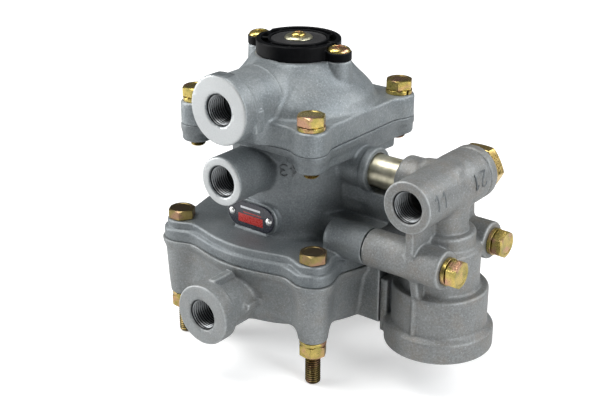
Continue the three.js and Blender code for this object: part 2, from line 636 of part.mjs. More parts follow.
function buildRelay() {
  const stemRadius = 9;
  const stemTop = 65.9;
  const service = pistonParts(SERVICE_BORE, 12, 20, 4);
  const stem = ring(4, stemRadius, 12, stemTop);
  const stemVent = rod(2, -12, 12, { along: 'front', at: [0, 0, 55], sides: 8 });
  piece('service_piston', cut(join(service.head, stem), stemVent), castAluminium);
  piece('service_piston_seal', service.seal, blackRubber);
  piece('service_piston_spring', spring(15, 1.2, 20.2, 39.3, 4), springSteel);

  const discBottom = SEAT_TOP + 0.3;
  const tubeRadius = 9;
  const relayValve = turned(
    [
      [6, discBottom], [15.5, discBottom], [15.5, discBottom + 4], [tubeRadius, discBottom + 4],
      [tubeRadius, 125], [6, 125], [6, discBottom],
    ],
    { sides: MEDIUM },
  );
  piece('relay_valve', relayValve, turnedSteel);
  piece('relay_valve_spring', spring(12.5, 1.1, discBottom + 4.2, 83.8, 3), springSteel);
  const guide = turned(
    [
      [9.5, 84], [SUPPLY_BORE - RUNNING_GAP, 84], [SUPPLY_BORE - RUNNING_GAP, GUIDE_SHOULDER],
      [CONTROL_BORE - RUNNING_GAP, GUIDE_SHOULDER], [CONTROL_BORE - RUNNING_GAP, 90.5], [9.5, 90.5], [9.5, 84],
    ],
    { sides: FINE },
  );
  piece('relay_valve_guide', guide, castAluminium);
}

function buildControlPistons() {
  const hub = 9.5;
  const handBrake = pistonParts(CONTROL_BORE, 93.6, 99.2, hub);
  piece('hand_brake_piston', handBrake.head, castAluminium);
  piece('hand_brake_piston_seal', handBrake.seal, blackRubber);
  const control = pistonParts(COVER_BORE, 103.6, 109.6, hub);
  const sleeve = ring(hub, 14, 104, 114);
  piece('control_piston', join(control.head, sleeve), castAluminium);
  piece('control_piston_seal', control.seal, blackRubber);
}

function buildShutoffInside() {
  const inside = new THREE.Group();
  inside.position.x = VALVE_X;
  valve.add(inside);
  const main = pistonParts(SHUTOFF_BORE, 20, 25.5, 0.5);
  const stem = turned([[0, 20], [6, 20], [6, 40], [11.4, 40], [11.4, 46], [6, 46], [6, 54], [0, 54]]);
  piece('shutoff_piston', join(main.head, stem), castAluminium, inside);
  piece('shutoff_piston_seal', main.seal, blackRubber, inside);
  piece('shutoff_spring', spring(13, 1.2, 4.7, 19.8, 3), springSteel, inside);
  piece('shutoff_closing_plate', rod(SHUTOFF_BORE - RUNNING_GAP, 0.9, 4.4, { sides: FINE }), castAluminium, inside);
  const opening = block([-3, -30, -2], [3, 0, 1]);
  const snapRing = cut(ring(18.2, 21.1, -1.1, 0.1), opening);
  piece('shutoff_snap_ring', snapRing, springSteel, inside);
}

buildCastings();
buildConnections();
buildCap();
buildFasteners();
buildLabel();
buildRelay();
buildControlPistons();
buildShutoffInside();

export default valve;
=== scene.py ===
"""Looks for the trailer brake control valve.

The castings are worked out as distance fields in millimetres and meshed, so that bosses run into walls with
cast fillets. Fasteners, threads, springs and turned parts are meshes wrapped round their own axes.
"""

import json
import math

import bmesh
import bpy
import numpy as np
import openvdb
from mathutils import Matrix, Vector


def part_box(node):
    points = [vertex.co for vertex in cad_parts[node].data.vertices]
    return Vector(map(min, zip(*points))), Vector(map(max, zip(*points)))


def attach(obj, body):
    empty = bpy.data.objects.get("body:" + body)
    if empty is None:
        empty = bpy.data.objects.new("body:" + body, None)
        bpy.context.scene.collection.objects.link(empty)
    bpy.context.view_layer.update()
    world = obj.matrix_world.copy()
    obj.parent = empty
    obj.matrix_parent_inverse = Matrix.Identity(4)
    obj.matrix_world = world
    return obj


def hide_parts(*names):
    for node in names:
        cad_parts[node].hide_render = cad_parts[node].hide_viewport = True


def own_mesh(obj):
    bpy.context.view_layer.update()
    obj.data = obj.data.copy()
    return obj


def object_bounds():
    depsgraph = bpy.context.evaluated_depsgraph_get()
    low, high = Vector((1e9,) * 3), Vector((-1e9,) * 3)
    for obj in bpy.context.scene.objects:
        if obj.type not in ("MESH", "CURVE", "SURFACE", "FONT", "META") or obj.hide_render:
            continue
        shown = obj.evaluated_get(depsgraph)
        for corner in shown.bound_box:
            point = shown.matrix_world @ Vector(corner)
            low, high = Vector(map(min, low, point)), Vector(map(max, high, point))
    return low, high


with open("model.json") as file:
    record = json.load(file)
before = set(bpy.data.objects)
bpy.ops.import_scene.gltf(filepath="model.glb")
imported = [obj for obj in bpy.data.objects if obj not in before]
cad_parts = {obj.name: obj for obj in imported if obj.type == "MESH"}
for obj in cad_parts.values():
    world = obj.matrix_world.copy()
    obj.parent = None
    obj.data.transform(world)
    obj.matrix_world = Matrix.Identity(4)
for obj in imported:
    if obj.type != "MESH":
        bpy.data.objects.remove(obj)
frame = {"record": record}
cad_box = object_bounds()

MM = 0.001
STEP = 0.5
FINE_STEP = 0.25
DIGIT_STEP = 0.16
FAR = 6.0


# Places, read from the frame

def low(node):
    return np.array(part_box(node)[0]) / MM


def high(node):
    return np.array(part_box(node)[1]) / MM


def middle(node):
    return (low(node) + high(node)) / 2


def ends(node, axis="z"):
    """Where a node starts and ends along an axis."""
    k = "xyz".index(axis)
    return low(node)[k], high(node)[k]


def foot(node, axis="z", along=0.0):
    """The middle of a node's first end on an axis, moved along it."""
    k = "xyz".index(axis)
    at = middle(node)
    at[k] = low(node)[k] + along
    return at


def mount(name):
    return next(np.array(m["pos_m"]) / MM for m in frame["record"]["mounts"] if m["name"] == name)


HEAD_HEIGHT = 5.4
ACROSS_FLATS = 13.0
CORNERS = {"front_right": (1, -1), "front_left": (-1, -1), "rear_left": (-1, 1), "rear_right": (1, 1)}

BASE_JOINT = low("middle_body")[2]
COVER_JOINT = low("top_cover")[2]
REGISTER_TOP = high("middle_body")[2]
FLANGE_TOP = high("flange_bolt_front_right")[2] - HEAD_HEIGHT
COVER_TOP = low("cover_bolt_washer_front_right")[2]
STUD_X = middle("stud_nut_front_right")[0]
COVER_BOLT_X = middle("cover_bolt_washer_front_right")[0]
EAR_X = middle("cap_ear_screw_right")[0]
CAP_TOP = high("vent_cap")[2]
DOME_TOP = CAP_TOP - 8
CAP_RADIUS = 21.9
EAR_THICKNESS = 4
EAR_SCREW_HEIGHT = 3.2
EAR_SEAT = high("cap_ear_screw_right")[2] - EAR_SCREW_HEIGHT - EAR_THICKNESS
PLUG_HEX = 7
COLUMN_RADIUS = 35
VALVE_X = middle("shutoff_closing_plate")[0]
SLEEVE_Z = middle("connecting_sleeve")[2]
CROSS_Z = middle("port_21_plug")[2]
SIDE_JOINT = low("side_joint_gasket")[0]
SIDE_PAD = high("side_joint_gasket")[0]
SIDE_BOLT_Y = middle("side_bolt_rear")[1]
SIDE_BOLT_Z = middle("side_bolt_rear")[2]
TUBE_END = low("side_bolt_washer_rear")[0] - 0.3
LABEL = middle("label_plate")
PAD_FRONT = high("label_plate")[1]
STACK = (0, 0)
STUDS = [(x * STUD_X, y * STUD_X) for x, y in CORNERS.values()]
COVER_BOLTS = [(x * COVER_BOLT_X, y * COVER_BOLT_X) for x, y in CORNERS.values()]
EARS = [(-EAR_X, 0), (EAR_X, 0)]
SIDE_BOLTS = [(-SIDE_BOLT_Y, SIDE_BOLT_Z), (SIDE_BOLT_Y, SIDE_BOLT_Z)]

BOLT_HOLE = 4.35
TAP_BORE = 7.2
THREAD_ROOT = 8.0
THREAD_SEAT = 8.2
THREAD_START = 1.0
THREAD_LENGTH = 13.0
BOLT_COLUMNS = 72


class Port:
    """A threaded port along y: its axis, its face, the radius of its rim and how brightly it is faced."""

    def __init__(self, face_mount, axis, rim, inner, shine):
        self.face = mount(face_mount)[1]
        self.axis = axis
        self.rim = rim
        self.inner = inner
        self.shine = shine
        self.side = math.copysign(1, self.face)

    def depth(self, distance):
        """The y of a plane this far inside the face."""
        return self.face - self.side * distance


COVER_PORT = Port("cover_port_face", (0, 117), 17.8, -24, 0.9)
PORT_43 = Port("port_43_face", (0, 80), 12.7, -33, 0.9)
BASE_PORT = Port("base_port_face", (0, 12.8), 16.1, -36, 0.2)
PORT_22 = Port("port_22_face", (0, 60), 14, 16, 0.9)
PORT_11 = Port("port_11_face", (VALVE_X, CROSS_Z), 13, 2, 0.0)


# Distance fields

def rounded(side, end, edge):
    """Two families of faces that meet in an edge of this radius."""
    a = side + edge
    b = end + edge
    return np.minimum(np.maximum(a, b), 0) + np.hypot(np.maximum(a, 0), np.maximum(b, 0)) - edge


def soft_min(a, b, width):
    if width <= 0:
        return np.minimum(a, b)
    reach = np.maximum(width - np.abs(a - b), 0) / width
    return np.minimum(a, b) - reach * reach * width / 4


class Shape:
    """A distance function of x, y, z, with the box that holds the shape."""

    def __init__(self, distance, box_low, box_high):
        self.distance = distance
        self.low = np.array(box_low, float)
        self.high = np.array(box_high, float)


def long_last(axis):
    """The two cross axes, then the long one."""
    long = "xyz".index(axis)
    return [k for k in range(3) if k != long] + [long]


def box_along(axis, across, start, end):
    """Corners of a box: across holds (low, high) for the two cross axes."""
    u, v, w = long_last(axis)
    corners = np.zeros((2, 3))
    corners[:, u] = across[0]
    corners[:, v] = across[1]
    corners[:, w] = start, end
    return corners


def rod(axis, centre, radius, start, end, edge=0.5, end_radius=None):
    """A round rod, or a cone that ends in end_radius. centre holds the other two coordinates."""
    u, v, w = long_last(axis)
    last = radius if end_radius is None else end_radius
    if start > end:
        start, end, radius, last = end, start, last, radius
    slope = (last - radius) / (end - start)
    shrink = 1 / math.hypot(1, slope)

    def distance(*p):
        size = radius + slope * (p[w] - start)
        side = (np.hypot(p[u] - centre[0], p[v] - centre[1]) - size) * shrink
        return rounded(side, np.maximum(start - p[w], p[w] - end), edge)

    wide = max(radius, last)
    return Shape(distance, *box_along(axis, [(c - wide, c + wide) for c in centre], start, end))


def block(corner, opposite, edge=1.0):
    corner, opposite = np.array(corner, float), np.array(opposite, float)
    centre, half = (corner + opposite) / 2, (opposite - corner) / 2

    def distance(*p):
        q = [np.abs(p[k] - centre[k]) - half[k] + edge for k in range(3)]
        inside = np.minimum(np.maximum(np.maximum(q[0], q[1]), q[2]), 0)
        return inside + np.sqrt(sum(np.maximum(value, 0) ** 2 for value in q)) - edge

    return Shape(distance, corner, opposite)


def bar(start, end, radius):
    """A bar with round ends between two points."""
    a, span = np.array(start, float), np.array(end, float) - np.array(start, float)
    length2 = float(span @ span)

    def distance(*p):
        t = np.clip(sum((p[k] - a[k]) * span[k] for k in range(3)) / length2, 0, 1)
        return np.sqrt(sum((p[k] - a[k] - t * span[k]) ** 2 for k in range(3))) - radius

    return Shape(distance, np.minimum(a, a + span) - radius, np.maximum(a, a + span) + radius)


def polygon(points):
    """Signed distance in a plane to a closed outline."""

    def distance(px, py):
        best = 1e9
        inside = np.zeros(np.broadcast(px, py).shape, bool)
        for (ax, ay), (bx, by) in zip(points, points[1:] + points[:1]):
            ex, ey = bx - ax, by - ay
            wx, wy = px - ax, py - ay
            t = np.clip((wx * ex + wy * ey) / (ex * ex + ey * ey), 0, 1)
            best = np.minimum(best, (wx - t * ex) ** 2 + (wy - t * ey) ** 2)
            level = (ay > py) != (by > py)
            inside ^= level & ((wx * ey < ex * wy) == (ey > 0))
        return np.where(inside, -1, 1) * np.sqrt(best)

    return distance


def round_corners(points, radius, closed=False):
    """Turns the corners of a line into short curves."""
    points = [np.array(p, float) for p in points]
    count = len(points)
    line = [] if closed else [points[0]]
    for i in range(count) if closed else range(1, count - 1):
        before, here, after = points[i - 1], points[i], points[(i + 1) % count]
        reach = min(radius, 0.45 * np.linalg.norm(before - here), 0.45 * np.linalg.norm(after - here))
        a = here + (before - here) * reach / np.linalg.norm(before - here)
        b = here + (after - here) * reach / np.linalg.norm(after - here)
        line += [(1 - t) ** 2 * a + 2 * t * (1 - t) * here + t * t * b for t in (0, 0.25, 0.5, 0.75, 1)]
    return line if closed else line + [points[-1]]


def revolved(axis, centre, profile, edge=0.8):
    """A body turned about an axis, from [radius, height] points that start and end on the axis."""
    u, v, w = long_last(axis)
    line = round_corners(profile, edge)
    # Mirrored through the axis, so that the axis is no edge of the shape.
    outline = [(r, h) for r, h in line if r > 0] + [(-r, h) for r, h in reversed(line) if r > 0]
    heights = [h for _, h in profile]
    wide = max(r for r, _ in profile)
    margin = FAR + 3
    grid = 0.25
    radii = np.arange(0, wide + margin, grid)
    levels = np.arange(min(heights) - margin, max(heights) + margin, grid)
    table = polygon(outline)(radii[:, None], levels[None, :])

    def distance(*p):
        radius = np.hypot(p[u] - centre[0], p[v] - centre[1]) / grid
        radius, level = np.broadcast_arrays(radius, (p[w] - levels[0]) / grid)
        i = np.clip(radius.astype(int), 0, len(radii) - 2)
        j = np.clip(level.astype(int), 0, len(levels) - 2)
        fi = np.clip(radius - i, 0, 1)
        fj = np.clip(level - j, 0, 1)
        near = table[i, j] * (1 - fj) + table[i, j + 1] * fj
        far = table[i + 1, j] * (1 - fj) + table[i + 1, j + 1] * fj
        return near * (1 - fi) + far * fi

    across = [(c - wide, c + wide) for c in centre]
    return Shape(distance, *box_along(axis, across, min(heights), max(heights)))


def slab(axis, outline, across, start, end, edge=0.8):
    """A plate with this outline, a distance in its plane; across is the box that holds it."""
    u, v, w = long_last(axis)
    start, end = min(start, end), max(start, end)

    def distance(*p):
        return rounded(outline(p[u], p[v]), np.maximum(start - p[w], p[w] - end), edge)

    return Shape(distance, *box_along(axis, across, start, end))


class Field:
    """A solid kept as distances to its surface, negative inside, on a regular grid."""

    def __init__(self, corner, opposite, step=STEP):
        self.step = step
        self.low = np.array(corner, float) - 3 * step
        count = np.ceil((np.array(opposite, float) + 3 * step - self.low) / step).astype(int) + 1
        self.values = np.full(count, FAR, np.float32)

    def window(self, shape, margin):
        """The cells round a shape, and the places of these cells along x, y and z."""
        size = np.array(self.values.shape)
        first = np.floor((shape.low - margin - self.low) / self.step).astype(int)
        last = np.ceil((shape.high + margin - self.low) / self.step).astype(int) + 1
        runs = [np.arange(a, b) for a, b in zip(np.clip(first, 0, size), np.clip(last, 0, size))]
        lines = [(self.low[k] + self.step * runs[k]).astype(np.float32) for k in range(3)]
        return np.ix_(*runs), np.meshgrid(*lines, indexing="ij", sparse=True)

    def change(self, sign, shapes, blend):
        for shape in shapes:
            cells, places = self.window(shape, max(blend, 3.0))
            distance = np.clip(shape.distance(*places), -FAR, FAR)
            self.values[cells] = sign * soft_min(sign * self.values[cells], distance, blend)

    def add(self, *shapes, blend=0.0):
        self.change(1, shapes, blend)

    def cut(self, *shapes, blend=0.0):
        self.change(-1, shapes, blend)

    def trim(self, axis, start=-FAR * 100, end=FAR * 100):
        """Cuts off all that lies before start or after end on an axis."""
        k = "xyz".index(axis)
        line = self.low[k] + self.step * np.arange(self.values.shape[k])
        beyond = np.clip(np.maximum(start - line, line - end), -FAR, FAR).astype(np.float32)
        self.values = np.maximum(self.values, beyond.reshape(np.where(np.arange(3) == k, -1, 1)))

    def sample(self, points):
        place = (points - self.low) / self.step
        base = np.clip(np.floor(place).astype(int), 0, np.array(self.values.shape) - 2)
        part = np.clip(place - base, 0, 1)
        total = np.zeros(len(points))
        for corner in np.ndindex(2, 2, 2):
            weight = np.prod(np.where(corner, part, 1 - part), axis=1)
            total += weight * self.values[tuple((base + corner).T)]
        return total


# Meshes

def mesh_object(name, points, faces):
    """A mesh object from points in millimetres."""
    mesh = bpy.data.meshes.new(name)
    mesh.from_pydata((np.asarray(points) * MM).tolist(), [], faces)
    mesh.polygons.foreach_set("use_smooth", [True] * len(mesh.polygons))
    obj = bpy.data.objects.new(name, mesh)
    bpy.context.scene.collection.objects.link(obj)
    return obj


def mesh_field(name, field, adaptivity=0.002, joints=()):
    """The surface of a field, with smooth normals and the curvature of its edges taken from the distances.
    Edges at the joints, given as heights, stay hidden against the next casting, so they get neither the
    bright wear and painted highlight nor the painted crease shade."""
    grid = openvdb.FloatGrid(FAR)
    grid.copyFromArray(field.values)
    points, triangles, quads = grid.convertToPolygons(isovalue=0.0, adaptivity=adaptivity)
    places = np.array(points, float) * field.step + field.low
    faces = [face for part in (triangles, quads) for face in np.array(part).tolist()]
    obj = mesh_object(name, places, faces)
    mesh = obj.data
    reach = 0.9 * field.step
    axes = np.eye(3)
    slopes = [field.sample(places + reach * a) - field.sample(places - reach * a) for a in axes]
    normals = np.stack(slopes, 1)
    normals /= np.linalg.norm(normals, axis=1, keepdims=True) + 1e-9
    mesh.normals_split_custom_set_from_vertices(normals.tolist())
    wide = 2.2 * field.step
    around = sum(field.sample(places + side * wide * a) for a in axes for side in (-1, 1)) / (6 * wide)
    for joint in joints:
        around[np.abs(places[:, 2] - joint) < 1.3] *= 0.15
    set_value(obj, "edge", around)
    return obj, places


def set_value(obj, name, values):
    attribute = obj.data.attributes.get(name) or obj.data.attributes.new(name, "FLOAT", "POINT")
    attribute.data.foreach_set("value", np.asarray(values, np.float32))


def wrap(name, rows, columns=48, seam=None, flip=False, closed=False, crease=28):
    """A body wrapped round the z axis. A row is (radius, height), each one number or one for every column.
    seam[i] is the row whose first column closes row i, which is how a thread climbs."""
    turn = 2 * np.pi * np.arange(columns) / columns
    radii = np.stack([np.broadcast_to(r, columns) for r, _ in rows])
    heights = np.stack([np.broadcast_to(h, columns) for _, h in rows])
    points = np.stack([radii * np.cos(turn), radii * np.sin(turn), heights], 2).reshape(-1, 3)
    seam = list(range(len(rows))) if seam is None else seam
    faces = []
    for i in range(len(rows) if closed else len(rows) - 1):
        above = (i + 1) % len(rows)
        for j in range(columns):
            last = j == columns - 1
            right = seam[i] * columns if last else i * columns + j + 1
            right_above = seam[above] * columns if last else above * columns + j + 1
            face = (i * columns + j, right, right_above, above * columns + j)
            faces.append(face[::-1] if flip else face)
    return tidy(mesh_object(name, points, faces), crease)


def tidy(obj, crease=28):
    """Merges coinciding points, drops faces without area and keeps edges above crease degrees crisp."""
    bm = bmesh.new()
    bm.from_mesh(obj.data)
    bmesh.ops.remove_doubles(bm, verts=bm.verts, dist=2e-6)
    bmesh.ops.dissolve_degenerate(bm, edges=bm.edges, dist=1e-6)
    bm.to_mesh(obj.data)
    bm.free()
    obj.data.polygons.foreach_set("use_smooth", [True] * len(obj.data.polygons))
    obj.data.set_sharp_from_angle(angle=math.radians(crease))
    return obj


def lathe(name, profile, edge=0.25, columns=64, closed=False, crease=28):
    """A turned body from [radius, height] points, its outside read upwards."""
    rows = [tuple(p) for p in round_corners(profile, edge, closed)]
    return wrap(name, rows, columns, closed=closed, crease=crease)


def sweep(name, sections, loop=False):
    """A body through a run of sections, arrays of points that go round the same way."""
    size = len(sections[0])
    count = len(sections)
    points = np.concatenate(sections)
    faces = []
    for i in range(count if loop else count - 1):
        after = (i + 1) % count
        for j in range(size):
            k = (j + 1) % size
            faces.append((i * size + j, after * size + j, after * size + k, i * size + k))
    if not loop:
        faces.append(tuple(range(size)))
        faces.append(tuple((count - 1) * size + j for j in reversed(range(size))))
    return tidy(mesh_object(name, points, faces), crease=35)


TURN = {
    "up": Matrix.Identity(4),
    "front": Matrix.Rotation(math.pi / 2, 4, "X"),
    "back": Matrix.Rotation(-math.pi / 2, 4, "X"),
    "right": Matrix.Rotation(math.pi / 2, 4, "Y"),
}


def place(obj, at, along="up", twist=0.0):
    """Moves the points of a body made along +Z to where it stands in the part."""
    move = Matrix.Translation(Vector(at) * MM) @ TURN[along] @ Matrix.Rotation(twist, 4, "Z")
    obj.data.transform(move)
    return obj


def join(name, *objs):
    """Several bodies as one piece."""
    mesh = bpy.data.meshes.new(name)
    bm = bmesh.new()
    for obj in objs:
        bm.from_mesh(obj.data)
    bm.to_mesh(mesh)
    bm.free()
    for obj in objs:
        bpy.data.objects.remove(obj)
    result = bpy.data.objects.new(name, mesh)
    bpy.context.scene.collection.objects.link(result)
    return result


def finish(obj, look, *nodes, body="housing"):
    """Gives a piece its material, its body and the CAD nodes that it stands for."""
    obj.data.materials.clear()
    obj.data.materials.append(look)
    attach(obj, body)
    if nodes:
        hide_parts(*nodes)
    return obj


# Materials


def rgba(value):
    return (*value, 1) if isinstance(value, tuple) else value


class Look:
    """A procedural material in the part's own millimetres. The slot of the record that it stands for is not
    used.
    """

    def __init__(self, name, slot):
        self.material = bpy.data.materials.new(name)
        self.material.use_nodes = True
        self.tree = self.material.node_tree
        self.surface = self.tree.nodes["Principled BSDF"]
        metres = self.node("TexCoord")["Object"]
        self.place = self.node("VectorMath", {0: metres, "Scale": 1 / MM}, operation="SCALE")[0]

    def feed(self, target, value):
        if isinstance(value, bpy.types.NodeSocket):
            self.tree.links.new(value, target)
        else:
            target.default_value = value

    def node(self, kind, inputs=None, **settings):
        """The outputs of a new node. Its inputs take values or other outputs."""
        made = self.tree.nodes.new(f"ShaderNode{kind}")
        for key, value in settings.items():
            setattr(made, key, value)
        for key, value in (inputs or {}).items():
            self.feed(made.inputs[key], value)
        return made.outputs

    def math(self, operation, *values):
        return self.node("Math", dict(enumerate(values)), operation=operation)[0]

    def moved(self, offset):
        return self.node("VectorMath", {0: self.place, 1: offset}, operation="ADD")[0]

    def noise(self, size, detail=3.0, roughness=0.55, place=None):
        """Clouds of about this size in millimetres, 0 to 1 about 0.5."""
        inputs = {"Vector": place or self.place, "Scale": 1 / size, "Detail": detail, "Roughness": roughness}
        return self.node("TexNoise", inputs)["Fac"]

    def cells(self, size):
        """Distance to scattered points about this far apart, in units of their spacing."""
        return self.node("TexVoronoi", {"Vector": self.place, "Scale": 1 / size})["Distance"]

    def attribute(self, name):
        return self.node("Attribute", attribute_name=name)["Fac"]

    def coordinate(self, axis, source=None):
        return self.node("SeparateXYZ", {0: source or self.place})[axis.upper()]

    def span(self, value, start, end, low_to=0.0, high_to=1.0):
        """Maps start..end to low_to..high_to, held at both ends."""
        return self.node("MapRange", dict(enumerate((value, start, end, low_to, high_to))))["Result"]

    def mix(self, share, first, second):
        """Between two colours, given as (r, g, b) or outputs."""
        return self.node("Mix", {0: share, 6: rgba(first), 7: rgba(second)}, data_type="RGBA")[2]

    def bump(self, height, depth):
        """Raises the surface by height (0..1) times depth in millimetres, on top of earlier bumps."""
        inputs = {"Height": height, "Distance": depth * MM, "Strength": 1.0}
        normal = self.surface.inputs["Normal"]
        if normal.is_linked:
            inputs["Normal"] = normal.links[0].from_socket
        self.feed(normal, self.node("Bump", inputs)["Normal"])

    def set(self, **inputs):
        """Feeds the surface: base_color stands for its input Base Color."""
        for key, value in inputs.items():
            self.feed(self.surface.inputs[key.replace("_", " ").title()], rgba(value))


def cast_aluminium(name, tone, warm):
    """Blasted die casting: grey-blue skin with a salt-and-pepper grain and bright flecks painted as glints,
    warm stains, edges lightened by wear and a painted highlight, creases darkened by grime and painted shade,
    and grey cut faces."""
    look = Look(name, "cast_aluminium")
    mix, span, noise, math_node = look.mix, look.span, look.noise, look.math

    def shade(red, green, blue):
        return tuple(tone * c for c in (red, green, blue))

    skin = mix(span(noise(16, 4), 0.35, 0.68), shade(0.175, 0.203, 0.220), shade(0.265, 0.292, 0.305))
    stain = span(noise(10, 5, 0.65), 0.46, 0.70, 0.5 * warm, warm)
    skin = mix(stain, skin, shade(0.228, 0.205, 0.180))
    grain = noise(0.95, 3, 0.75)
    skin = mix(span(grain, 0.48, 0.72, 0, 0.6), skin, shade(0.38, 0.41, 0.42))
    skin = mix(span(grain, 0.46, 0.28, 0, 0.5), skin, shade(0.11, 0.125, 0.134))
    # Bright flecks at scattered points are painted glints of the blasted skin.
    skin = mix(span(look.cells(1.9), 0.05, 0.15, 0.5, 0), skin, shade(0.60, 0.63, 0.64))
    edge = look.attribute("edge")
    # Convex edges are lightened, partly for wear and partly as a painted highlight.
    wear_and_edge_highlight = math_node("MULTIPLY", span(edge, 0.08, 0.32), span(noise(3, 3), 0.3, 0.6, 0.2, 0.6))
    skin = mix(wear_and_edge_highlight, skin, shade(0.66, 0.69, 0.70))
    # Concave creases are darkened, partly as grime and partly as painted shade where little light reaches.
    grime_and_crease_shade = math_node("MULTIPLY", span(edge, -0.04, -0.24), span(noise(5, 3), 0.3, 0.7, 0.3, 0.85))
    skin = mix(grime_and_crease_shade, skin, shade(0.075, 0.087, 0.096))
    cut = look.attribute("cut")
    cut_skin = mix(noise(0.8, 2), (0.46, 0.48, 0.485), (0.60, 0.615, 0.62))
    roughness = math_node("ADD", span(cut, 0, 1, 0.45, 0.34), math_node("MULTIPLY", grain, 0.16))
    look.set(base_color=mix(cut, skin, cut_skin), metallic=span(cut, 0, 1, 0.5, 0.7), roughness=roughness)
    cast = math_node("SUBTRACT", 1, cut)
    look.bump(math_node("MULTIPLY", noise(4.5, 2), cast), 0.22)
    look.bump(math_node("MULTIPLY", grain, cast), 0.11)
    tool_pitch = 0.45
    ring = math_node("SINE", math_node("MULTIPLY", look.attribute("ring"), 2 * math.pi / tool_pitch))
    look.bump(math_node("MULTIPLY", ring, cut), 0.008)
    return look.material


def zinc_plated(name, brown_and_top_shade):
    """Yellow chromate: gold that turns olive and pink in patches, with dark specks. Up-facing faces are
    browner, partly the plating's own brown and partly painted shade, and thread roots are painted dark as
    shade. The last argument runs from 0, bright, to 1, brown."""
    look = Look(name, "zinc_plated")
    mix, span, noise = look.mix, look.span, look.noise
    gold = mix(span(noise(4.5, 3, 0.6), 0.34, 0.62), (0.36, 0.31, 0.085), (0.66, 0.50, 0.15))
    pink = span(noise(7.5, 2, 0.5, look.moved((40, 11, 5))), 0.50, 0.64, 0, 0.85)
    gold = mix(pink, gold, (0.60, 0.32, 0.23))
    # Up-facing faces are painted darker brown, partly the plating's own brown and partly painted shade.
    facing_up = look.coordinate("z", look.node("NewGeometry")["Normal"])
    gold = mix(span(facing_up, 0.75, 0.95, 0.6 * brown_and_top_shade, 0.12 + 0.82 * brown_and_top_shade), gold, (0.12, 0.085, 0.05))
    speck = look.math("MULTIPLY", span(look.cells(1.1), 0.12, 0.26, 0.9, 0), span(noise(4), 0.40, 0.56))
    gold = mix(speck, gold, (0.075, 0.055, 0.03))
    # Thread roots are painted near black, as shade.
    gold = mix(span(look.attribute("groove"), 0.25, 0.75, 0, 0.9), gold, (0.03, 0.02, 0.012))
    fine = noise(0.35, 3, 0.6)
    look.set(base_color=gold, metallic=0.92, roughness=span(fine, 0.3, 0.7, 0.17 + 0.12 * brown_and_top_shade, 0.38))
    look.bump(fine, 0.025)
    look.bump(noise(1.4, 3), 0.06)
    return look.material


def turned_metal(name, slot, dark, bright, axis, rough=0.28, pitch=0.5):
    """Turned or drawn metal with fine rings along an axis."""
    look = Look(name, slot)
    wander = look.math("MULTIPLY", look.noise(8, 2), 0.8)
    along = look.math("ADD", look.coordinate(axis), wander)
    rings = look.math("SINE", look.math("MULTIPLY", along, 2 * math.pi / pitch))
    tint = look.mix(look.span(look.noise(7, 4), 0.35, 0.65), dark, bright)
    roughness = look.span(look.noise(1.2, 3), 0.3, 0.7, rough, rough + 0.14)
    look.set(base_color=tint, metallic=0.95, roughness=roughness)
    look.bump(rings, 0.012)
    look.bump(look.noise(0.5, 2), 0.01)
    return look.material


def cut_thread(name):
    """A tapped wall: crests that are bright against the roots yet darker than the faced rim, painted shade
    inside the port, over roots painted near black as shade.
    """
    look = Look(name, "machined_aluminium")
    crest = look.mix(look.noise(1.5, 3), (0.26, 0.27, 0.28), (0.42, 0.44, 0.45))
    # Roots are painted near black, as shade.
    depth = look.span(look.attribute("groove"), 0.25, 0.7)
    look.set(base_color=look.mix(depth, crest, (0.012, 0.013, 0.014)), metallic=0.8, roughness=0.42)
    look.bump(look.noise(0.4, 2), 0.01)
    return look.material


def black_plastic(name):
    look = Look(name, "black_plastic")
    fine = look.noise(0.4, 3)
    cloud = look.span(look.noise(6), 0.35, 0.7)
    tone = look.mix(cloud, (0.0018, 0.0019, 0.0024), (0.0045, 0.0048, 0.0055))
    # Convex edges are lightened, partly for wear and partly as a painted highlight.
    wear_and_edge_highlight = look.span(look.attribute("edge"), 0.12, 0.34, 0, 0.5)
    tone = look.mix(wear_and_edge_highlight, tone, (0.035, 0.037, 0.04))
    look.set(base_color=tone, roughness=look.span(fine, 0.3, 0.7, 0.34, 0.5))
    look.feed(look.surface.inputs["Specular IOR Level"], 0.07)
    look.bump(fine, 0.018)
    look.bump(look.noise(3), 0.05)
    return look.material


def black_rubber(name):
    look = Look(name, "black_rubber")
    fine = look.noise(0.3, 3)
    dust = look.span(look.noise(3, 4), 0.5, 0.75, 0, 0.5)
    tone = look.mix(dust, (0.012, 0.012, 0.013), (0.04, 0.04, 0.042))
    look.set(base_color=tone, roughness=look.span(fine, 0.3, 0.7, 0.55, 0.8))
    look.bump(fine, 0.03)
    return look.material


def label_print(name):
    """Black plate with a plain red block, a red hairline and a pale bar in place of the print."""
    look = Look(name, "label")
    centred = look.moved(tuple(float(-c) for c in LABEL))

    def gap(axis, centre, half):
        shifted_by = look.math("SUBTRACT", look.coordinate(axis, centred), centre)
        return look.math("SUBTRACT", look.math("ABSOLUTE", shifted_by), half)

    def field(centre, half):
        """1 inside a rectangle on the plate's face."""
        outside = look.math("MAXIMUM", gap("x", centre[0], half[0]), gap("z", centre[1], half[1]))
        return look.span(outside, 0.0, 0.08, 1, 0)

    red = look.mix(look.noise(0.8, 3), (0.34, 0.010, 0.006), (0.55, 0.022, 0.012))
    tone = look.mix(look.noise(2, 3), (0.010, 0.011, 0.020), (0.020, 0.022, 0.036))
    tone = look.mix(field((0, -2.2), (8.2, 2.3)), tone, red)
    tone = look.mix(field((1.2, 1.35), (6.0, 0.28)), tone, (0.38, 0.02, 0.015))
    tone = look.mix(field((0, 3.9), (6.6, 0.55)), tone, (0.62, 0.63, 0.66))
    roughness = look.span(look.noise(0.8, 3), 0.3, 0.7, 0.22, 0.36)
    look.set(base_color=tone, roughness=roughness, coat_weight=0.4)
    look.bump(look.noise(0.5, 2), 0.01)
    return look.material


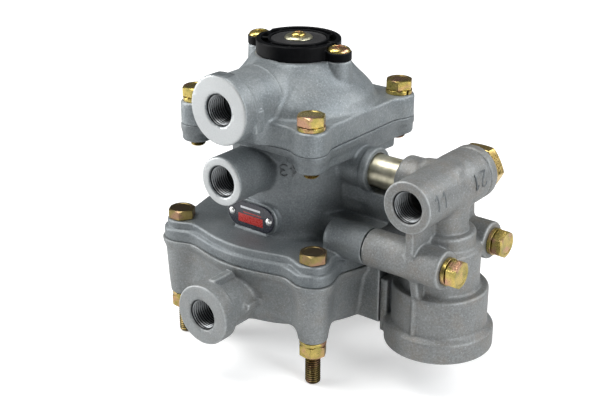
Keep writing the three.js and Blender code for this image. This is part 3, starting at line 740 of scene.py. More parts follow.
def pale_floor(name):
    """Paper that the camera sees lit through, as on a light table, more so away from the part. That light
    doesn't reach the part."""
    look = Look(name, None)
    seen = look.node("LightPath")["Is Camera Ray"]
    away = look.node("VectorMath", {0: look.place}, operation="LENGTH")["Value"]
    glow = look.math("MULTIPLY", seen, look.span(away, 250, 900, 0.42, 1))
    paper = look.mix(look.noise(60, 3), (0.78, 0.785, 0.79), (0.82, 0.82, 0.82))
    look.set(base_color=paper, roughness=0.75, emission_color=(1, 1, 1), emission_strength=glow)
    look.bump(look.noise(1.5, 3), 0.02)
    return look.material


COVER_CAST = cast_aluminium("cover_casting", 1.0, 0.15)
# The middle casting is the same metal in a darker tone: painted shade under the overhanging cover.
MIDDLE_SHADED_CAST = cast_aluminium("middle_casting_shaded", 0.73, 0.12)
BASE_CAST = cast_aluminium("base_casting", 0.98, 0.6)
VALVE_CAST = cast_aluminium("valve_casting", 0.95, 0.85)
# The raised digits are the same metal at half tone: painted shade, so that they read as dark strokes.
DIGIT_SHADED_CAST = cast_aluminium("digit_casting_shaded", 0.5, 0.15)
ZINC = zinc_plated("yellow_zinc", 0.25)
BRIGHT_ZINC = zinc_plated("bright_zinc", 0.0)
# Browner all over and darker on top: the plating's own brown together with painted shade.
BROWN_SHADED_ZINC = zinc_plated("brown_zinc", 1.0)
WASHER_ZINC = turned_metal("pale_zinc", "zinc_plated", (0.36, 0.35, 0.24), (0.52, 0.50, 0.36), "z", 0.3)
STEEL = turned_metal("turned_steel", "turned_steel", (0.44, 0.42, 0.31), (0.70, 0.66, 0.52), "x")
BRASS = turned_metal("brass", "brass", (0.60, 0.42, 0.13), (0.80, 0.60, 0.24), "y", 0.22)
SPRING = turned_metal("spring_steel", "spring_steel", (0.16, 0.16, 0.17), (0.30, 0.30, 0.31), "z", 0.3, 1.3)
THREAD = cut_thread("cut_thread")
MACHINED = "machined_aluminium"
TURNED = turned_metal("turned_aluminium", MACHINED, (0.48, 0.49, 0.50), (0.66, 0.67, 0.68), "z", 0.3)
RIVET = turned_metal("rivet_aluminium", MACHINED, (0.66, 0.66, 0.66), (0.86, 0.86, 0.85), "y", 0.25)
PLASTIC = black_plastic("black_plastic")
RUBBER = black_rubber("black_rubber")
PRINT = label_print("label_print")


# Castings

class Casting:
    """A field with the zones where it was machined after casting."""

    def __init__(self, corner, opposite, step=STEP):
        self.field = Field(corner, opposite, step)
        self.zones = []

    def machine(self, shape, axis, centre, cut=True, shine=0.6):
        """Cuts a shape away and marks the faces it leaves."""
        if cut:
            self.field.cut(shape)
        self.zones.append((shape, axis, centre, shine))

    def bore(self, axis, centre, radius, start, end, edge=0.0, end_radius=None):
        self.machine(rod(axis, centre, radius, start, end, edge, end_radius), axis, centre)

    def port(self, port):
        """A faced, chamfered and tapped port."""
        outside = port.depth(-1.0)
        thread_end = port.depth(THREAD_START + THREAD_LENGTH + 0.2)
        self.field.cut(
            rod("y", port.axis, TAP_BORE, port.inner, outside, 0),
            rod("y", port.axis, THREAD_SEAT, thread_end, outside, 0),
            rod("y", port.axis, THREAD_SEAT - 0.3, port.depth(0.9), port.depth(-0.3), 0, 9.0),
        )
        face = rod("y", port.axis, port.rim - 0.4, port.face, port.depth(-2.0), 0)
        self.machine(face, "y", port.axis, cut=False, shine=port.shine)

    def piece(self, name, look, node, adaptivity=0.002, joints=()):
        obj, places = mesh_field(name, self.field, adaptivity, joints)
        cut = np.zeros(len(places))
        ring = np.zeros(len(places))
        tolerance = 0.45 * self.field.step
        for shape, axis, centre, shine in self.zones:
            u, v, _ = long_last(axis)
            near = shape.distance(*places.T) < tolerance
            cut[near] = shine
            ring[near] = np.hypot(places[near, u] - centre[0], places[near, v] - centre[1])
        set_value(obj, "cut", cut)
        set_value(obj, "ring", ring)
        finish(obj, look, node)


def union(blend, *parts):
    """Outlines in a plane run together with a soft blend."""

    def distance(px, py):
        total = parts[0](px, py)
        for part in parts[1:]:
            total = soft_min(total, part(px, py), blend)
        return total

    return distance


def circle(x, y, radius):
    return lambda px, py: np.hypot(px - x, py - y) - radius


def rectangle(x, y, half_x, half_y, corner):
    def distance(px, py):
        a = np.abs(px - x) - half_x + corner
        b = np.abs(py - y) - half_y + corner
        return np.minimum(np.maximum(a, b), 0) + np.hypot(np.maximum(a, 0), np.maximum(b, 0)) - corner

    return distance


def shifted(outline, grow):
    return lambda px, py: outline(px, py) - grow


COVER_OUTLINE = union(
    6,
    rectangle(0, 0, 42.2, 42.2, 5),
    *[circle(x, y, 8) for x, y in COVER_BOLTS],
)
LOWER_OUTLINE = union(
    9,
    circle(0, 0, 56.6),
    rectangle(0, 0, 49, 49, 8),
    *[circle(x, y, 9.5) for x, y in STUDS],
)
COVER_SPAN = [(-46, 46), (-46, 46)]
LOWER_SPAN = [(-58, 58), (-58, 58)]


def top_cover():
    cover = Casting([-46, -63, COVER_JOINT], [46, 46, DOME_TOP])
    field = cover.field
    field.add(slab("z", COVER_OUTLINE, COVER_SPAN, COVER_JOINT - 4, COVER_TOP, 1.6))
    dome = [
        [0, 90], [40.6, 90], [40.6, 110.5], [38.8, 114.5], [35.8, 118], [32.4, 121.2], [29.3, 124.6],
        [26.6, 128.2], [23.4, DOME_TOP], [0, DOME_TOP],
    ]
    field.add(revolved("z", STACK, dome, 1.5), blend=3)
    port = COVER_PORT
    field.add(rod("y", port.axis, 15.8, -22.5, port.depth(4)), blend=3)
    field.add(block([-12, -46, COVER_JOINT - 4], [12, -20, 112], 4), blend=7)
    field.add(rod("y", port.axis, port.rim, port.depth(8.5), port.face, 1.0), blend=1.2)
    # A mould line runs round the boss.
    field.add(rod("y", port.axis, 16.2, -33.6, -32.6, 0.4), blend=0.4)
    # Short fins stiffen the rim on both sides.
    for x in (-16, 16):
        field.add(block([x - 1.3, -54.5, 106], [x + 1.3, -48, 117.5], 0.8), blend=1.2)
    for ear in EARS:
        field.add(rod("z", ear, 7.4, 108, EAR_SEAT, 0.8, 6.2), blend=1.0)
    field.cut(rod("z", STACK, 60, 80, COVER_JOINT, 0), block([-60, -80, 80], [60, 0, COVER_JOINT], 0))
    cavity = [[0, 90], [33, 90], [33, 112], [13, 128], [13, 140], [0, 140]]
    cover.machine(revolved("z", STACK, cavity, 0.6), "z", STACK)
    cover.bore("z", STACK, 36.3, 90, REGISTER_TOP)
    cover.bore("z", STACK, CAP_RADIUS + 0.3, DOME_TOP, 145)
    for ear in EARS:
        cover.bore("z", ear, 2.8, 118, 145)
    for bolt in COVER_BOLTS:
        cover.bore("z", bolt, BOLT_HOLE, 90, 120)
    cover.port(port)
    cover.piece("top_cover_casting", COVER_CAST, "top_cover", joints=[COVER_JOINT])


def middle_body():
    body = Casting([-57, -63, BASE_JOINT], [SIDE_JOINT, 58.5, REGISTER_TOP])
    field = body.field
    field.add(slab("z", LOWER_OUTLINE, LOWER_SPAN, BASE_JOINT - 4, FLANGE_TOP - 4.2, 1.6))
    field.add(slab("z", shifted(LOWER_OUTLINE, -1.8), LOWER_SPAN, BASE_JOINT - 4, FLANGE_TOP, 1.2), blend=1.0)
    column = [
        [0, 36], [38, 36], [38, 43], [35.5, 45.5],
        [COLUMN_RADIUS, 48], [COLUMN_RADIUS, 84], [40, 94], [0, 94],
    ]
    field.add(revolved("z", STACK, column, 1.5), blend=1.2)
    field.add(slab("z", COVER_OUTLINE, COVER_SPAN, 93, COVER_JOINT + 4, 1.2), blend=2.5)
    web_end = 0.72 * COVER_BOLT_X
    for bolt, (x, y) in zip(COVER_BOLTS, CORNERS.values()):
        field.add(rod("z", bolt, 8, 87.6, 97, 1.6), blend=1.6)
        # Webs carry the corner bosses on the column.
        field.add(bar((x * 18, y * 18, 92), (x * web_end, y * web_end, 93), 5), blend=4)
    # The right side of the flange hangs lower than the front.
    field.add(block([20, -36, 86.6], [42.5, 36, 97], 1.6), blend=2.5)
    field.add(rod("y", PORT_43.axis, PORT_43.rim, -8, PORT_43.face, 0.9), blend=1.6)
    field.add(block([-3.5, -40, 84], [3.5, -20, 95], 1.0), blend=1.6)
    field.add(rod("y", PORT_22.axis, PORT_22.rim, 8, PORT_22.face, 0.9), blend=4)
    field.add(rod("y", PORT_22.axis, 16.5, 8, 27, 1.4), blend=3)

    pad = rectangle(LABEL[0], LABEL[2], 16.8, 8.6, 8.5)
    pad_span = [(LABEL[0] - 18, LABEL[0] + 18), (LABEL[2] - 10, LABEL[2] + 10)]
    field.add(slab("y", pad, pad_span, -8, PAD_FRONT, 0.7), blend=1.2)
    shelf_top = low("label_plate")[2] - 0.3
    field.add(block([LABEL[0] - 11, PAD_FRONT - 1, 40], [LABEL[0] + 11, -8, shelf_top], 0.5), blend=0.6)

    field.add(block([8, -6.5, 62], [50, 6.5, SLEEVE_Z], 2), blend=2)
    field.add(rod("x", (0, SLEEVE_Z), 10.6, 8, 50.5, 0.8), blend=2)
    field.add(rod("x", (0, SLEEVE_Z), 11.6, 46.4, 51, 0.9), blend=0.5)
    field.add(block([8, -6.5, 36], [SIDE_JOINT + 4, 6.5, 70], 1.0), blend=2)
    field.add(block([8, -17, 36], [SIDE_JOINT + 4, 17, 55.5], 1.2), blend=1.6)
    # A web joins the rear right bolt boss to the side passage.
    web = polygon([(43, 95), (42.5, 84), (38.5, 79.5), (24, 80), (10, 76), (8, 95)])
    field.add(slab("x", web, [(5, 45), (74, 97)], 30, 38.5, 1.8), blend=3)
    for bolt in SIDE_BOLTS:
        field.add(rod("x", bolt, 9.7, 38.5, SIDE_JOINT + 4, 4), blend=2)
    field.trim("x", end=SIDE_JOINT)
    field.trim("z", BASE_JOINT, COVER_JOINT)
    field.add(rod("z", STACK, 36, 90, REGISTER_TOP, 0.4))

    bores = [
        [0, 20], [38, 20], [38, 39.5], [9.6, 39.5], [9.6, 48], [19, 48], [19, 62], [12, 62], [12, 66],
        [19, 66], [19, 88], [20.5, 88], [20.5, 110], [0, 110],
    ]
    body.machine(revolved("z", STACK, bores, 0.3), "z", STACK)
    field.cut(bar((0, -18, 96), (0, -34, 74), 2.2))
    body.bore("x", (0, SLEEVE_Z), 8.9, 38, 60)
    body.bore("x", (0, SLEEVE_Z), 6, 15, 40)
    for bolt in SIDE_BOLTS:
        body.bore("x", bolt, BOLT_HOLE, 45, 80)
    for stud, bolt in zip(STUDS, COVER_BOLTS):
        body.bore("z", stud, BOLT_HOLE, 20, 60)
        body.bore("z", bolt, BOLT_HOLE, 80, 110)
    body.port(PORT_43)
    body.port(PORT_22)
    body.piece("middle_body_casting", MIDDLE_SHADED_CAST, "middle_body", 0.003, [BASE_JOINT, COVER_JOINT])


def base_housing():
    base = Casting([-58, -79, -5], [SIDE_JOINT, 58, BASE_JOINT])
    field = base.field
    field.add(rod("z", STACK, 49.4, 0, BASE_JOINT + 4, 2.2, 57.4))
    field.add(block([-49.6, -49.6, 3.5], [49.6, 49.6, BASE_JOINT + 4], 6), blend=4)
    for stud in STUDS:
        field.add(rod("z", stud, 7.6, 0, BASE_JOINT + 4, 1.2, 9.8), blend=5)
    field.add(slab("z", shifted(LOWER_OUTLINE, -0.2), LOWER_SPAN, 30.5, BASE_JOINT + 4, 1.6), blend=5)
    field.add(rod("y", BASE_PORT.axis, 13.3, -38, BASE_PORT.depth(4)), blend=2.5)
    field.add(rod("y", BASE_PORT.axis, BASE_PORT.rim, BASE_PORT.depth(9), BASE_PORT.face, 0.9), blend=1.0)
    field.add(block([-2.0, -71, 20], [2.0, -45, 29.6], 0.7), blend=1.0)
    for x in (-13.2, 13.2):
        field.add(block([x - 2.4, -61, 12.5], [x + 2.4, -40, 16], 1.2), blend=2)
    field.add(block([28, -13.5, 2], [SIDE_JOINT + 4, 13.5, BASE_JOINT + 4], 1.2), blend=2)
    field.trim("x", end=SIDE_JOINT)
    field.trim("z", end=BASE_JOINT)
    base.bore("z", STACK, 38, 6, 60, 0.6)
    base.bore("x", (0, 12), 3.5, 30, 80)
    for stud in STUDS:
        base.bore("z", stud, BOLT_HOLE, -10, 60)
    base.port(BASE_PORT)
    base.piece("base_housing_casting", BASE_CAST, "base_housing", 0.003, [BASE_JOINT])


def shutoff_body():
    valve = Casting([SIDE_PAD, -35, -5], [119, 33, 99])
    field = valve.field
    axis = (VALVE_X, 0)
    stack = [
        [0, -3], [27.7, -3], [27.7, 7.4], [24.2, 9.6], [24.2, 28.6], [23.4, 29.4], [20.2, 29.8], [19.4, 31],
        [19.4, 50.5], [16.3, 52.5], [16.3, 58.6], [15.4, 59.6], [12.8, 60], [12.3, 61], [12.3, 78], [0, 78],
    ]
    field.add(revolved("z", axis, stack, 1.0))
    field.add(block([SIDE_PAD - 4, -13.5, -2], [68, 13.5, 28], 1.2), blend=1.2)
    field.add(block([SIDE_PAD, -9, 0], [VALVE_X - 14, 9, 26], 2), blend=2)
    for bolt in SIDE_BOLTS:
        field.add(rod("x", bolt, 9.7, SIDE_PAD - 4, TUBE_END, 1.3), blend=2)
    web = polygon([(-31, 72), (-31, 57), (-22.5, 24), (22, 24), (27, 58), (26, 72)])
    field.add(slab("x", web, [(-34, 34), (20, 74)], VALVE_X - 2.3, VALVE_X + 2.3, 1.0), blend=1.6)
    field.add(rod("x", (0, SLEEVE_Z), 12, SIDE_PAD + 4.2, VALVE_X, 1.6), blend=2)
    cross_back = low("port_21_seal_ring")[1] - 0.3
    groove = cross_back - 5.6
    cross = [
        [0, PORT_11.face], [13, PORT_11.face], [13, 1], [14.1, 8], [14.1, groove - 0.9], [12.9, groove - 0.3],
        [12.9, groove + 0.3], [14.0, groove + 0.9], [14.0, cross_back], [0, cross_back],
    ]
    field.add(revolved("y", PORT_11.axis, cross, 0.6), blend=2.5)
    field.add(rod("x", (-1, 88.0), 5.4, VALVE_X - 13, VALVE_X + 8.5, 3), blend=2.5)
    for y in (-24.2, 24.2):
        field.add(bar((VALVE_X, y, 10), (VALVE_X, y, 28), 1.3), blend=1.0)
    # A narrow hollow inside the rear web, where the real one has a slot. It doesn't cut through.
    field.cut(bar((VALVE_X, 20.6, 60.5), (VALVE_X, 20.6, 66), 1.1))
    field.trim("x", start=SIDE_PAD)
    bore = [[0, -10], [20, -10], [20, 28], [12, 28], [12, 56], [7, 56], [7, CROSS_Z], [0, CROSS_Z]]
    valve.machine(revolved("z", axis, bore, 0.3), "z", axis)
    valve.bore("z", axis, 21.4, -1.5, 0.3)
    valve.bore("x", (0, 12), 3.5, 50, 73)
    valve.bore("x", (0, SLEEVE_Z), 8.9, 60, high("connecting_sleeve")[0] + 0.4)
    valve.bore("x", (0, SLEEVE_Z), 6, 70, VALVE_X)
    for bolt in SIDE_BOLTS:
        valve.bore("x", bolt, BOLT_HOLE, 50, 120)
    valve.bore("y", PORT_11.axis, TAP_BORE, 0, 40)
    valve.bore("y", PORT_11.axis, TAP_BORE, 25.8, 27.2, end_radius=8.6)
    valve.port(PORT_11)
    valve.piece("shutoff_valve_casting", VALVE_CAST, "shutoff_body")


# Threads and fasteners

def thread_rows(rest, peak, pitch, start, end, columns, limit=None):
    """Rows of a thread from start up to end, and which row closes each. It runs out to the radius rest."""
    steps = 8
    turn = np.arange(columns) / columns
    count = int(math.ceil((end - start) / pitch + 1)) * steps + 1
    rows = []
    for k in range(count):
        height = np.clip(start - pitch + k * pitch / steps + pitch * turn, start, end)
        ridge = np.clip(1.35 * abs(2 * (k % steps) / steps - 1) - 0.15, 0, 1)
        fade = np.clip(np.minimum(height - start, end - height) / (0.6 * pitch), 0, 1)
        radius = rest + (peak - rest) * ridge * fade
        rows.append((radius if limit is None else np.minimum(radius, limit(height)), height))
    return rows, [min(k + steps, count - 1) for k in range(count)]


def port_thread(name, port):
    """The tapped wall of a port: M16 x 1.5, as a thin ring that sits in the casting."""
    columns = 72
    rows, seam = thread_rows(THREAD_ROOT, TAP_BORE, 1.5, 0, THREAD_LENGTH, columns)
    outer = THREAD_SEAT + 0.15
    rows += [(outer, THREAD_LENGTH), (outer, 0)]
    seam += [len(seam), len(seam) + 1]
    ring = wrap(name, rows, columns, seam, flip=True, closed=True, crease=50)
    mark_groove(ring, TAP_BORE, THREAD_ROOT, lambda z: True)
    x, z = port.axis
    along = "back" if port.side < 0 else "front"
    place(ring, (x, port.depth(THREAD_START), z), along)
    finish(ring, THREAD)


def hex_radius(columns, across=ACROSS_FLATS):
    """Radius of a hexagon with slightly rounded corners, one value for every column."""
    turn = 2 * np.pi * (np.arange(columns) / columns)
    power = 44
    total = sum(np.maximum(np.cos(turn - math.pi / 2 - k * math.pi / 3), 0) ** power for k in range(6))
    return across / 2 * total ** (-1 / power)


def hex_side(columns, bottom, top, across=ACROSS_FLATS, both=False):
    """Rows up the side of a hexagon whose corners are chamfered at the top, or at both ends."""
    radius = hex_radius(columns, across)
    face = 0.475 * across
    drop = (radius - face) * math.tan(math.radians(30))
    if both:
        rows = [(face, bottom), (radius, bottom + drop)]
    else:
        rows = [(radius - 0.15, bottom), (radius, bottom + 0.15)]
    return rows + [(radius, top - drop), (face, top)], face


def threaded(name, tip, rows, seam, rest, columns):
    """A body with thread rows between its tip and the rest of its rows."""
    rows = [(0, tip), *rows, *rest]
    seam = [0, *(k + 1 for k in seam)]
    return wrap(name, rows, columns, seam + list(range(len(seam), len(rows))))


def hex_bolt(name, length, thread_length):
    """M8 bolt along +Z, the underside of its head at z = 0."""
    crest, root, pitch = 4.0, 3.25, 1.25
    chamfer = 0.8
    tip = -length
    limit = lambda height: crest - np.clip(chamfer - (height - tip), 0, chamfer)
    rows, seam = thread_rows(crest, root, pitch, tip, tip + thread_length, BOLT_COLUMNS, limit)
    side, top_radius = hex_side(BOLT_COLUMNS, 0.35, HEAD_HEIGHT)
    face = 0.82 * top_radius
    rest = [(crest, -0.3), (crest + 0.2, 0), (6.1, 0), (6.15, 0.35), *side]
    rest += [(face, HEAD_HEIGHT), (face - 0.35, HEAD_HEIGHT - 0.22), (0, HEAD_HEIGHT - 0.28)]
    bolt = threaded(name, tip, rows, seam, rest, BOLT_COLUMNS)
    mark_groove(bolt, crest, root, lambda z: tip + chamfer < z < -0.3)
    return bolt


def mark_groove(obj, crest, root, in_thread):
    """Marks how deep in the thread each point lies, from 0 at the crest to 1 at the root."""
    depths = []
    for vertex in obj.data.vertices:
        x, y, z = vertex.co / MM
        depths.append((crest - math.hypot(x, y)) / (crest - root) if in_thread(z) else 0)
    set_value(obj, "groove", depths)


def hex_nut(name, height):
    side, _ = hex_side(BOLT_COLUMNS, 0, height, both=True)
    inner = 4.12
    rows = [(inner + 0.5, 0)] + side + [(inner + 0.5, height), (inner, height - 0.5), (inner, 0.5)]
    return wrap(name, rows, BOLT_COLUMNS, closed=True)


def spring_washer(name, thickness=2.1, inner=4.3, outer=7.0, turn=0.0):
    """A split washer: a square bar bent round, cut on the slant, its ends sprung a little apart."""
    corner = 0.3
    rect = [(inner, 0), (outer, 0), (outer, thickness), (inner, thickness)]
    section = round_corners(rect, corner, closed=True)
    gap = 0.10
    stations = []
    for t in np.linspace(0, 1, 73):
        ring = []
        for r, h in section:
            slant = 0.09 * (h / thickness - 0.5)
            angle = turn + gap + (2 * math.pi - 2 * gap) * t + slant
            height = min(max(h + 0.12 * (t - 0.5), 0), thickness + 0.06)
            ring.append((r * math.cos(angle), r * math.sin(angle), height))
        stations.append(np.array(ring))
    return sweep(name, stations)


ALONG = {"x": "right", "z": "up"}


def place_bolt(node, thread, look, axis="z"):
    """A bolt whose head ends where its node does."""
    start, end = ends(node, axis)
    length = end - HEAD_HEIGHT - start
    bolt = hex_bolt(f"{node}_m8", length, thread)
    finish(place(bolt, foot(node, axis, length), ALONG[axis]), look, node)


def place_washer(node, turn, axis="z"):
    washer = spring_washer(f"{node}_split", turn=turn)
    finish(place(washer, foot(node, axis), ALONG[axis]), ZINC, node)


def fasteners():
    """Bolts, nuts and washers, each where its CAD node is."""
    for k, word in enumerate(CORNERS):
        place_bolt(f"cover_bolt_{word}", 12, ZINC)
        place_bolt(f"flange_bolt_{word}", 30, BROWN_SHADED_ZINC)
        for kind in ("cover_bolt_washer", "stud_washer"):
            place_washer(f"{kind}_{word}", 0.9 + 1.7 * k)
        node = f"stud_nut_{word}"
        bottom, top = ends(node)
        finish(place(hex_nut(f"{node}_m8", top - bottom), foot(node)), ZINC, node)
    for word in ("front", "rear"):
        place_bolt(f"side_bolt_{word}", 18, ZINC, "x")
        place_washer(f"side_bolt_washer_{word}", 2.2, "x")


# Sleeve, plug and gasket

def connections():
    start, end = ends("connecting_sleeve", "x")
    seals = [middle(f"sleeve_seal_{word}")[0] for word in ("inner", "outer")]
    groove, radius, inner = 7.1, 8.5, 5.5
    outside = [[inner, start], [radius - 0.8, start], [radius, start + 1.2]]
    for x in seals:
        outside += [[radius, x - 1.2], [groove, x - 1.2], [groove, x + 1.2], [radius, x + 1.2]]
    outside += [[radius, end - 1.2], [radius - 0.8, end], [inner, end]]
    sleeve = lathe("connecting_sleeve_turned", outside, 0.15, 96, closed=True)
    finish(place(sleeve, (0, 0, SLEEVE_Z), "right"), STEEL, "connecting_sleeve")
    for word, x in zip(("inner", "outer"), seals):
        seal = o_ring(f"sleeve_seal_{word}_ring", 7.3, 8.7, 0.9)
        finish(place(seal, (x, 0, SLEEVE_Z), "right"), RUBBER, f"sleeve_seal_{word}")

    box = low("side_joint_gasket"), high("side_joint_gasket")
    gasket = Casting(box[0] - [0, 1, 1], box[1] + [0, 1, 1], FINE_STEP)
    gasket.field.add(block(*box, 0.15))
    gasket.field.cut(rod("x", (0, 12), 4, 50, 80, 0))
    gasket.piece("side_joint_gasket_sheet", RUBBER, "side_joint_gasket")

    hex_end = high("port_21_plug")[1]
    hex_start = hex_end - PLUG_HEX
    side, face = hex_side(BOLT_COLUMNS, 0, PLUG_HEX, 23)
    tip = low("port_21_plug")[1] - hex_start
    rows, seam = thread_rows(6.9, 6.5, 1.5, tip, -1.0, BOLT_COLUMNS)
    rest = [(6.9, 0), (11.2, 0), *side]
    rest += [(0.8 * face, PLUG_HEX), (0.76 * face, PLUG_HEX - 0.3), (0, PLUG_HEX - 0.4)]
    plug = threaded("port_21_plug_hex", tip, rows, seam, rest, BOLT_COLUMNS)
    finish(place(plug, (VALVE_X, hex_start, CROSS_Z), "back"), BRASS, "port_21_plug")
    start, end = ends("port_21_seal_ring", "y")
    thick = end - start
    ring = [[8.7, 0], [11.8, 0], [11.8, thick], [8.7, thick]]
    ring = place(lathe("port_21_seal_copper", ring, 0.4, closed=True), (VALVE_X, start, CROSS_Z), "back")
    finish(ring, BRASS, "port_21_seal_ring")


def o_ring(name, inner, outer, half):
    """A rubber ring of oval section between two radii."""
    turn = np.linspace(0, 2 * np.pi, 16, endpoint=False)
    centre, wide = (inner + outer) / 2, (outer - inner) / 2
    rows = [(centre + wide * math.cos(t), half * math.sin(t)) for t in turn]
    return wrap(name, rows, 64, closed=True, crease=60)


# Vent cap

def vent_cap():
    cap = Casting([-33, -23, DOME_TOP], [33, 23, CAP_TOP], FINE_STEP)
    field = cap.field
    field.add(rod("z", STACK, CAP_RADIUS, DOME_TOP, CAP_TOP, 0.8))
    ear_top = EAR_SEAT + EAR_THICKNESS
    for ear, x in zip(EARS, (-21, 21)):
        field.add(rod("z", ear, 6.4, EAR_SEAT, ear_top + 0.6, 0.6), blend=1.5)
        field.add(block([x - 4, -5.4, EAR_SEAT], [x + 4, 5.4, ear_top + 0.6], 0.6), blend=1.0)
    field.cut(rod("z", STACK, 14.6, CAP_TOP - 1.9, 150, 0.2))
    channel = lambda px, py: np.abs(np.hypot(px, py) - 17.6) - 1.9
    field.cut(slab("z", channel, [(-20, 20), (-20, 20)], CAP_TOP - 4.4, CAP_TOP + 5, 0.4))
    for k in range(8):
        angle = (k + 0.5) * math.pi / 4
        inner, outer = 15, 20.3
        start = (inner * math.cos(angle), inner * math.sin(angle), CAP_TOP - 2.1)
        end = (outer * math.cos(angle), outer * math.sin(angle), CAP_TOP - 2.1)
        field.add(bar(start, end, 1.1), blend=0.4)
    field.cut(rod("z", STACK, 17, 120, DOME_TOP + 2, 0))
    for k in range(6):
        angle = k * math.pi / 3
        field.cut(rod("z", (9.5 * math.cos(angle), 9.5 * math.sin(angle)), 2.6, 120, CAP_TOP - 1, 0))
    field.cut(rod("z", STACK, 2.4, 120, 150, 0))
    for ear in EARS:
        field.cut(rod("z", ear, 2.9, 120, 150, 0))
        field.cut(rod("z", ear, 6.0, ear_top, 150, 0.3))
    cap.piece("vent_cap_moulding", PLASTIC, "vent_cap", 0.001)

    bottom, top = ends("exhaust_flap")
    thickness = top - bottom
    lip = thickness - 0.35
    flap = [
        [2.4, 0], [14.2, 0], [14.2, thickness], [13.0, thickness], [12.6, lip], [8.4, lip], [8.0, thickness],
        [2.4, thickness],
    ]
    flap = lathe("exhaust_flap_disc", flap, 0.25, 96, closed=True)
    finish(place(flap, (0, 0, bottom)), RUBBER, "exhaust_flap")
    bottom, seat = ends("cap_washer")
    height = seat - bottom
    washer = [[2.4, 0], [7.3, 0], [7.3, 0.6], [6.2, height], [2.4, height]]
    washer = lathe("cap_washer_dished", washer, 0.3, 96, closed=True)
    finish(place(washer, (0, 0, bottom)), WASHER_ZINC, "cap_washer")
    screw("cap_centre_screw", seat, 3.6, 2.0, 0.6)
    screw("cap_ear_screw_left", ear_top, 5.8, 2.5, -0.5)
    screw("cap_ear_screw_right", ear_top, 5.8, 2.5, 0.35)


def screw(node, seat, radius, shank, twist):
    """A raised head with a cross recess and a slot, as a fine field, on its shank."""
    bottom, top = ends(node)
    height = top - seat
    field = Field([-radius - 1, -radius - 1, -0.5], [radius + 1, radius + 1, height + 0.5], 0.6 * FINE_STEP)
    crown = [
        [0, 0], [radius, 0], [radius, 0.34 * height], [0.86 * radius, 0.66 * height],
        [0.55 * radius, 0.92 * height], [0, height],
    ]
    field.add(revolved("z", (0, 0), crown, 0.22 * radius))
    reach, width = 0.55 * radius, 0.10 * radius
    for a, b in ((reach, width), (width, reach)):
        field.cut(block([-a, -b, 0.58 * height], [a, b, height + 2], 0.08), blend=0.15)
    reach, width = 1.1 * radius, 0.07 * radius
    field.cut(block([-reach, -width, 0.79 * height], [reach, width, height + 2], 0.05))
    head, _ = mesh_field(f"{node}_head", field)
    rows, seam = thread_rows(shank, shank - 0.4, 0.8, bottom - seat, -1.0, 32)
    stem = threaded(f"{node}_stem", bottom - seat, rows, seam, [(shank, 0.3), (0, 0.3)], 32)
    piece = place(join(f"{node}_crossed", head, stem), foot(node, along=seat - bottom), twist=twist)
    piece.data.polygons.foreach_set("use_smooth", [True] * len(piece.data.polygons))
    finish(piece, BRIGHT_ZINC, node)


# Label and cast numbers

def label():
    box_low, box_high = low("label_plate"), high("label_plate")
    half_x, _, half_z = (box_high - box_low) / 2
    plate = Casting(box_low - 0.5, box_high + 0.5, FINE_STEP * 0.8)
    outline = rectangle(LABEL[0], LABEL[2], half_x, half_z, half_z - 0.05)
    across = [(box_low[0], box_high[0]), (box_low[2], box_high[2])]
    plate.field.add(slab("y", outline, across, box_low[1], box_high[1], 0.25))
    rivets = {node: middle(node)[0] for node in ("label_rivet_left", "label_rivet_right")}
    for x in rivets.values():
        plate.field.cut(rod("y", (x, LABEL[2]), 1.5, -50, -20, 0))
    plate.piece("label_plate_print", PRINT, "label_plate")
    dome = [[0, -3.5], [1.3, -3.5], [1.3, 0], [2.05, 0], [2.0, 0.35], [1.5, 0.8], [0.7, 1.0], [0, 1.02]]
    for node, x in rivets.items():
        rivet = lathe(f"{node}_domed", dome, 0.25, 40, crease=40)
        finish(place(rivet, (x, box_low[1], LABEL[2]), "front"), RIVET, node)


# Strokes of the raised port numbers, in units of their height.
STROKES = {
    "1": [[(0.0, 0.75), (0.25, 1.0), (0.25, 0.0)]],
    "2": [
        [(0.0, 0.75), (0.08, 0.93), (0.28, 1.0), (0.48, 0.92), (0.55, 0.72), (0.45, 0.5), (0.0, 0.0)],
        [(0.0, 0.0), (0.58, 0.0)],
    ],
    "3": [
        [(0.0, 0.9), (0.2, 1.0), (0.42, 0.95), (0.52, 0.78), (0.42, 0.6), (0.2, 0.53)],
        [(0.2, 0.53), (0.46, 0.46), (0.56, 0.26), (0.45, 0.06), (0.22, 0.0), (0.0, 0.1)],
    ],
    "4": [[(0.42, 0.0), (0.42, 1.0), (0.0, 0.32), (0.6, 0.32)]],
}


def cast_number(name, text, height, to_surface, half_turn, look):
    """Raised digits: to_surface(u, v) gives the place in the part of a point on the text's own plane."""
    advance = {"1": 0.82, "2": 0.95, "3": 0.86, "4": 0.9}
    total = sum(advance[c] for c in text) - 0.25
    places = []
    at = -total / 2
    for c in text:
        for stroke in STROKES[c]:
            corners = [np.array([(at + u) * height, (v - 0.5) * height]) for u, v in stroke]
            # Short runs, so that a stroke follows a curved surface.
            line = [a + (b - a) * t for a, b in zip(corners, corners[1:]) for t in np.linspace(0, 1, 9)]
            places.append([np.array(to_surface(*(-p if half_turn else p))) for p in line])
        at += advance[c]
    points = np.concatenate([np.array(line) for line in places])
    field = Field(points.min(0) - 1, points.max(0) + 1, DIGIT_STEP)
    for line in places:
        for a, b in zip(line, line[1:]):
            if np.linalg.norm(b - a) > 0:
                field.add(bar(a, b, 0.46))
    obj, _ = mesh_field(name, field)
    finish(obj, look)


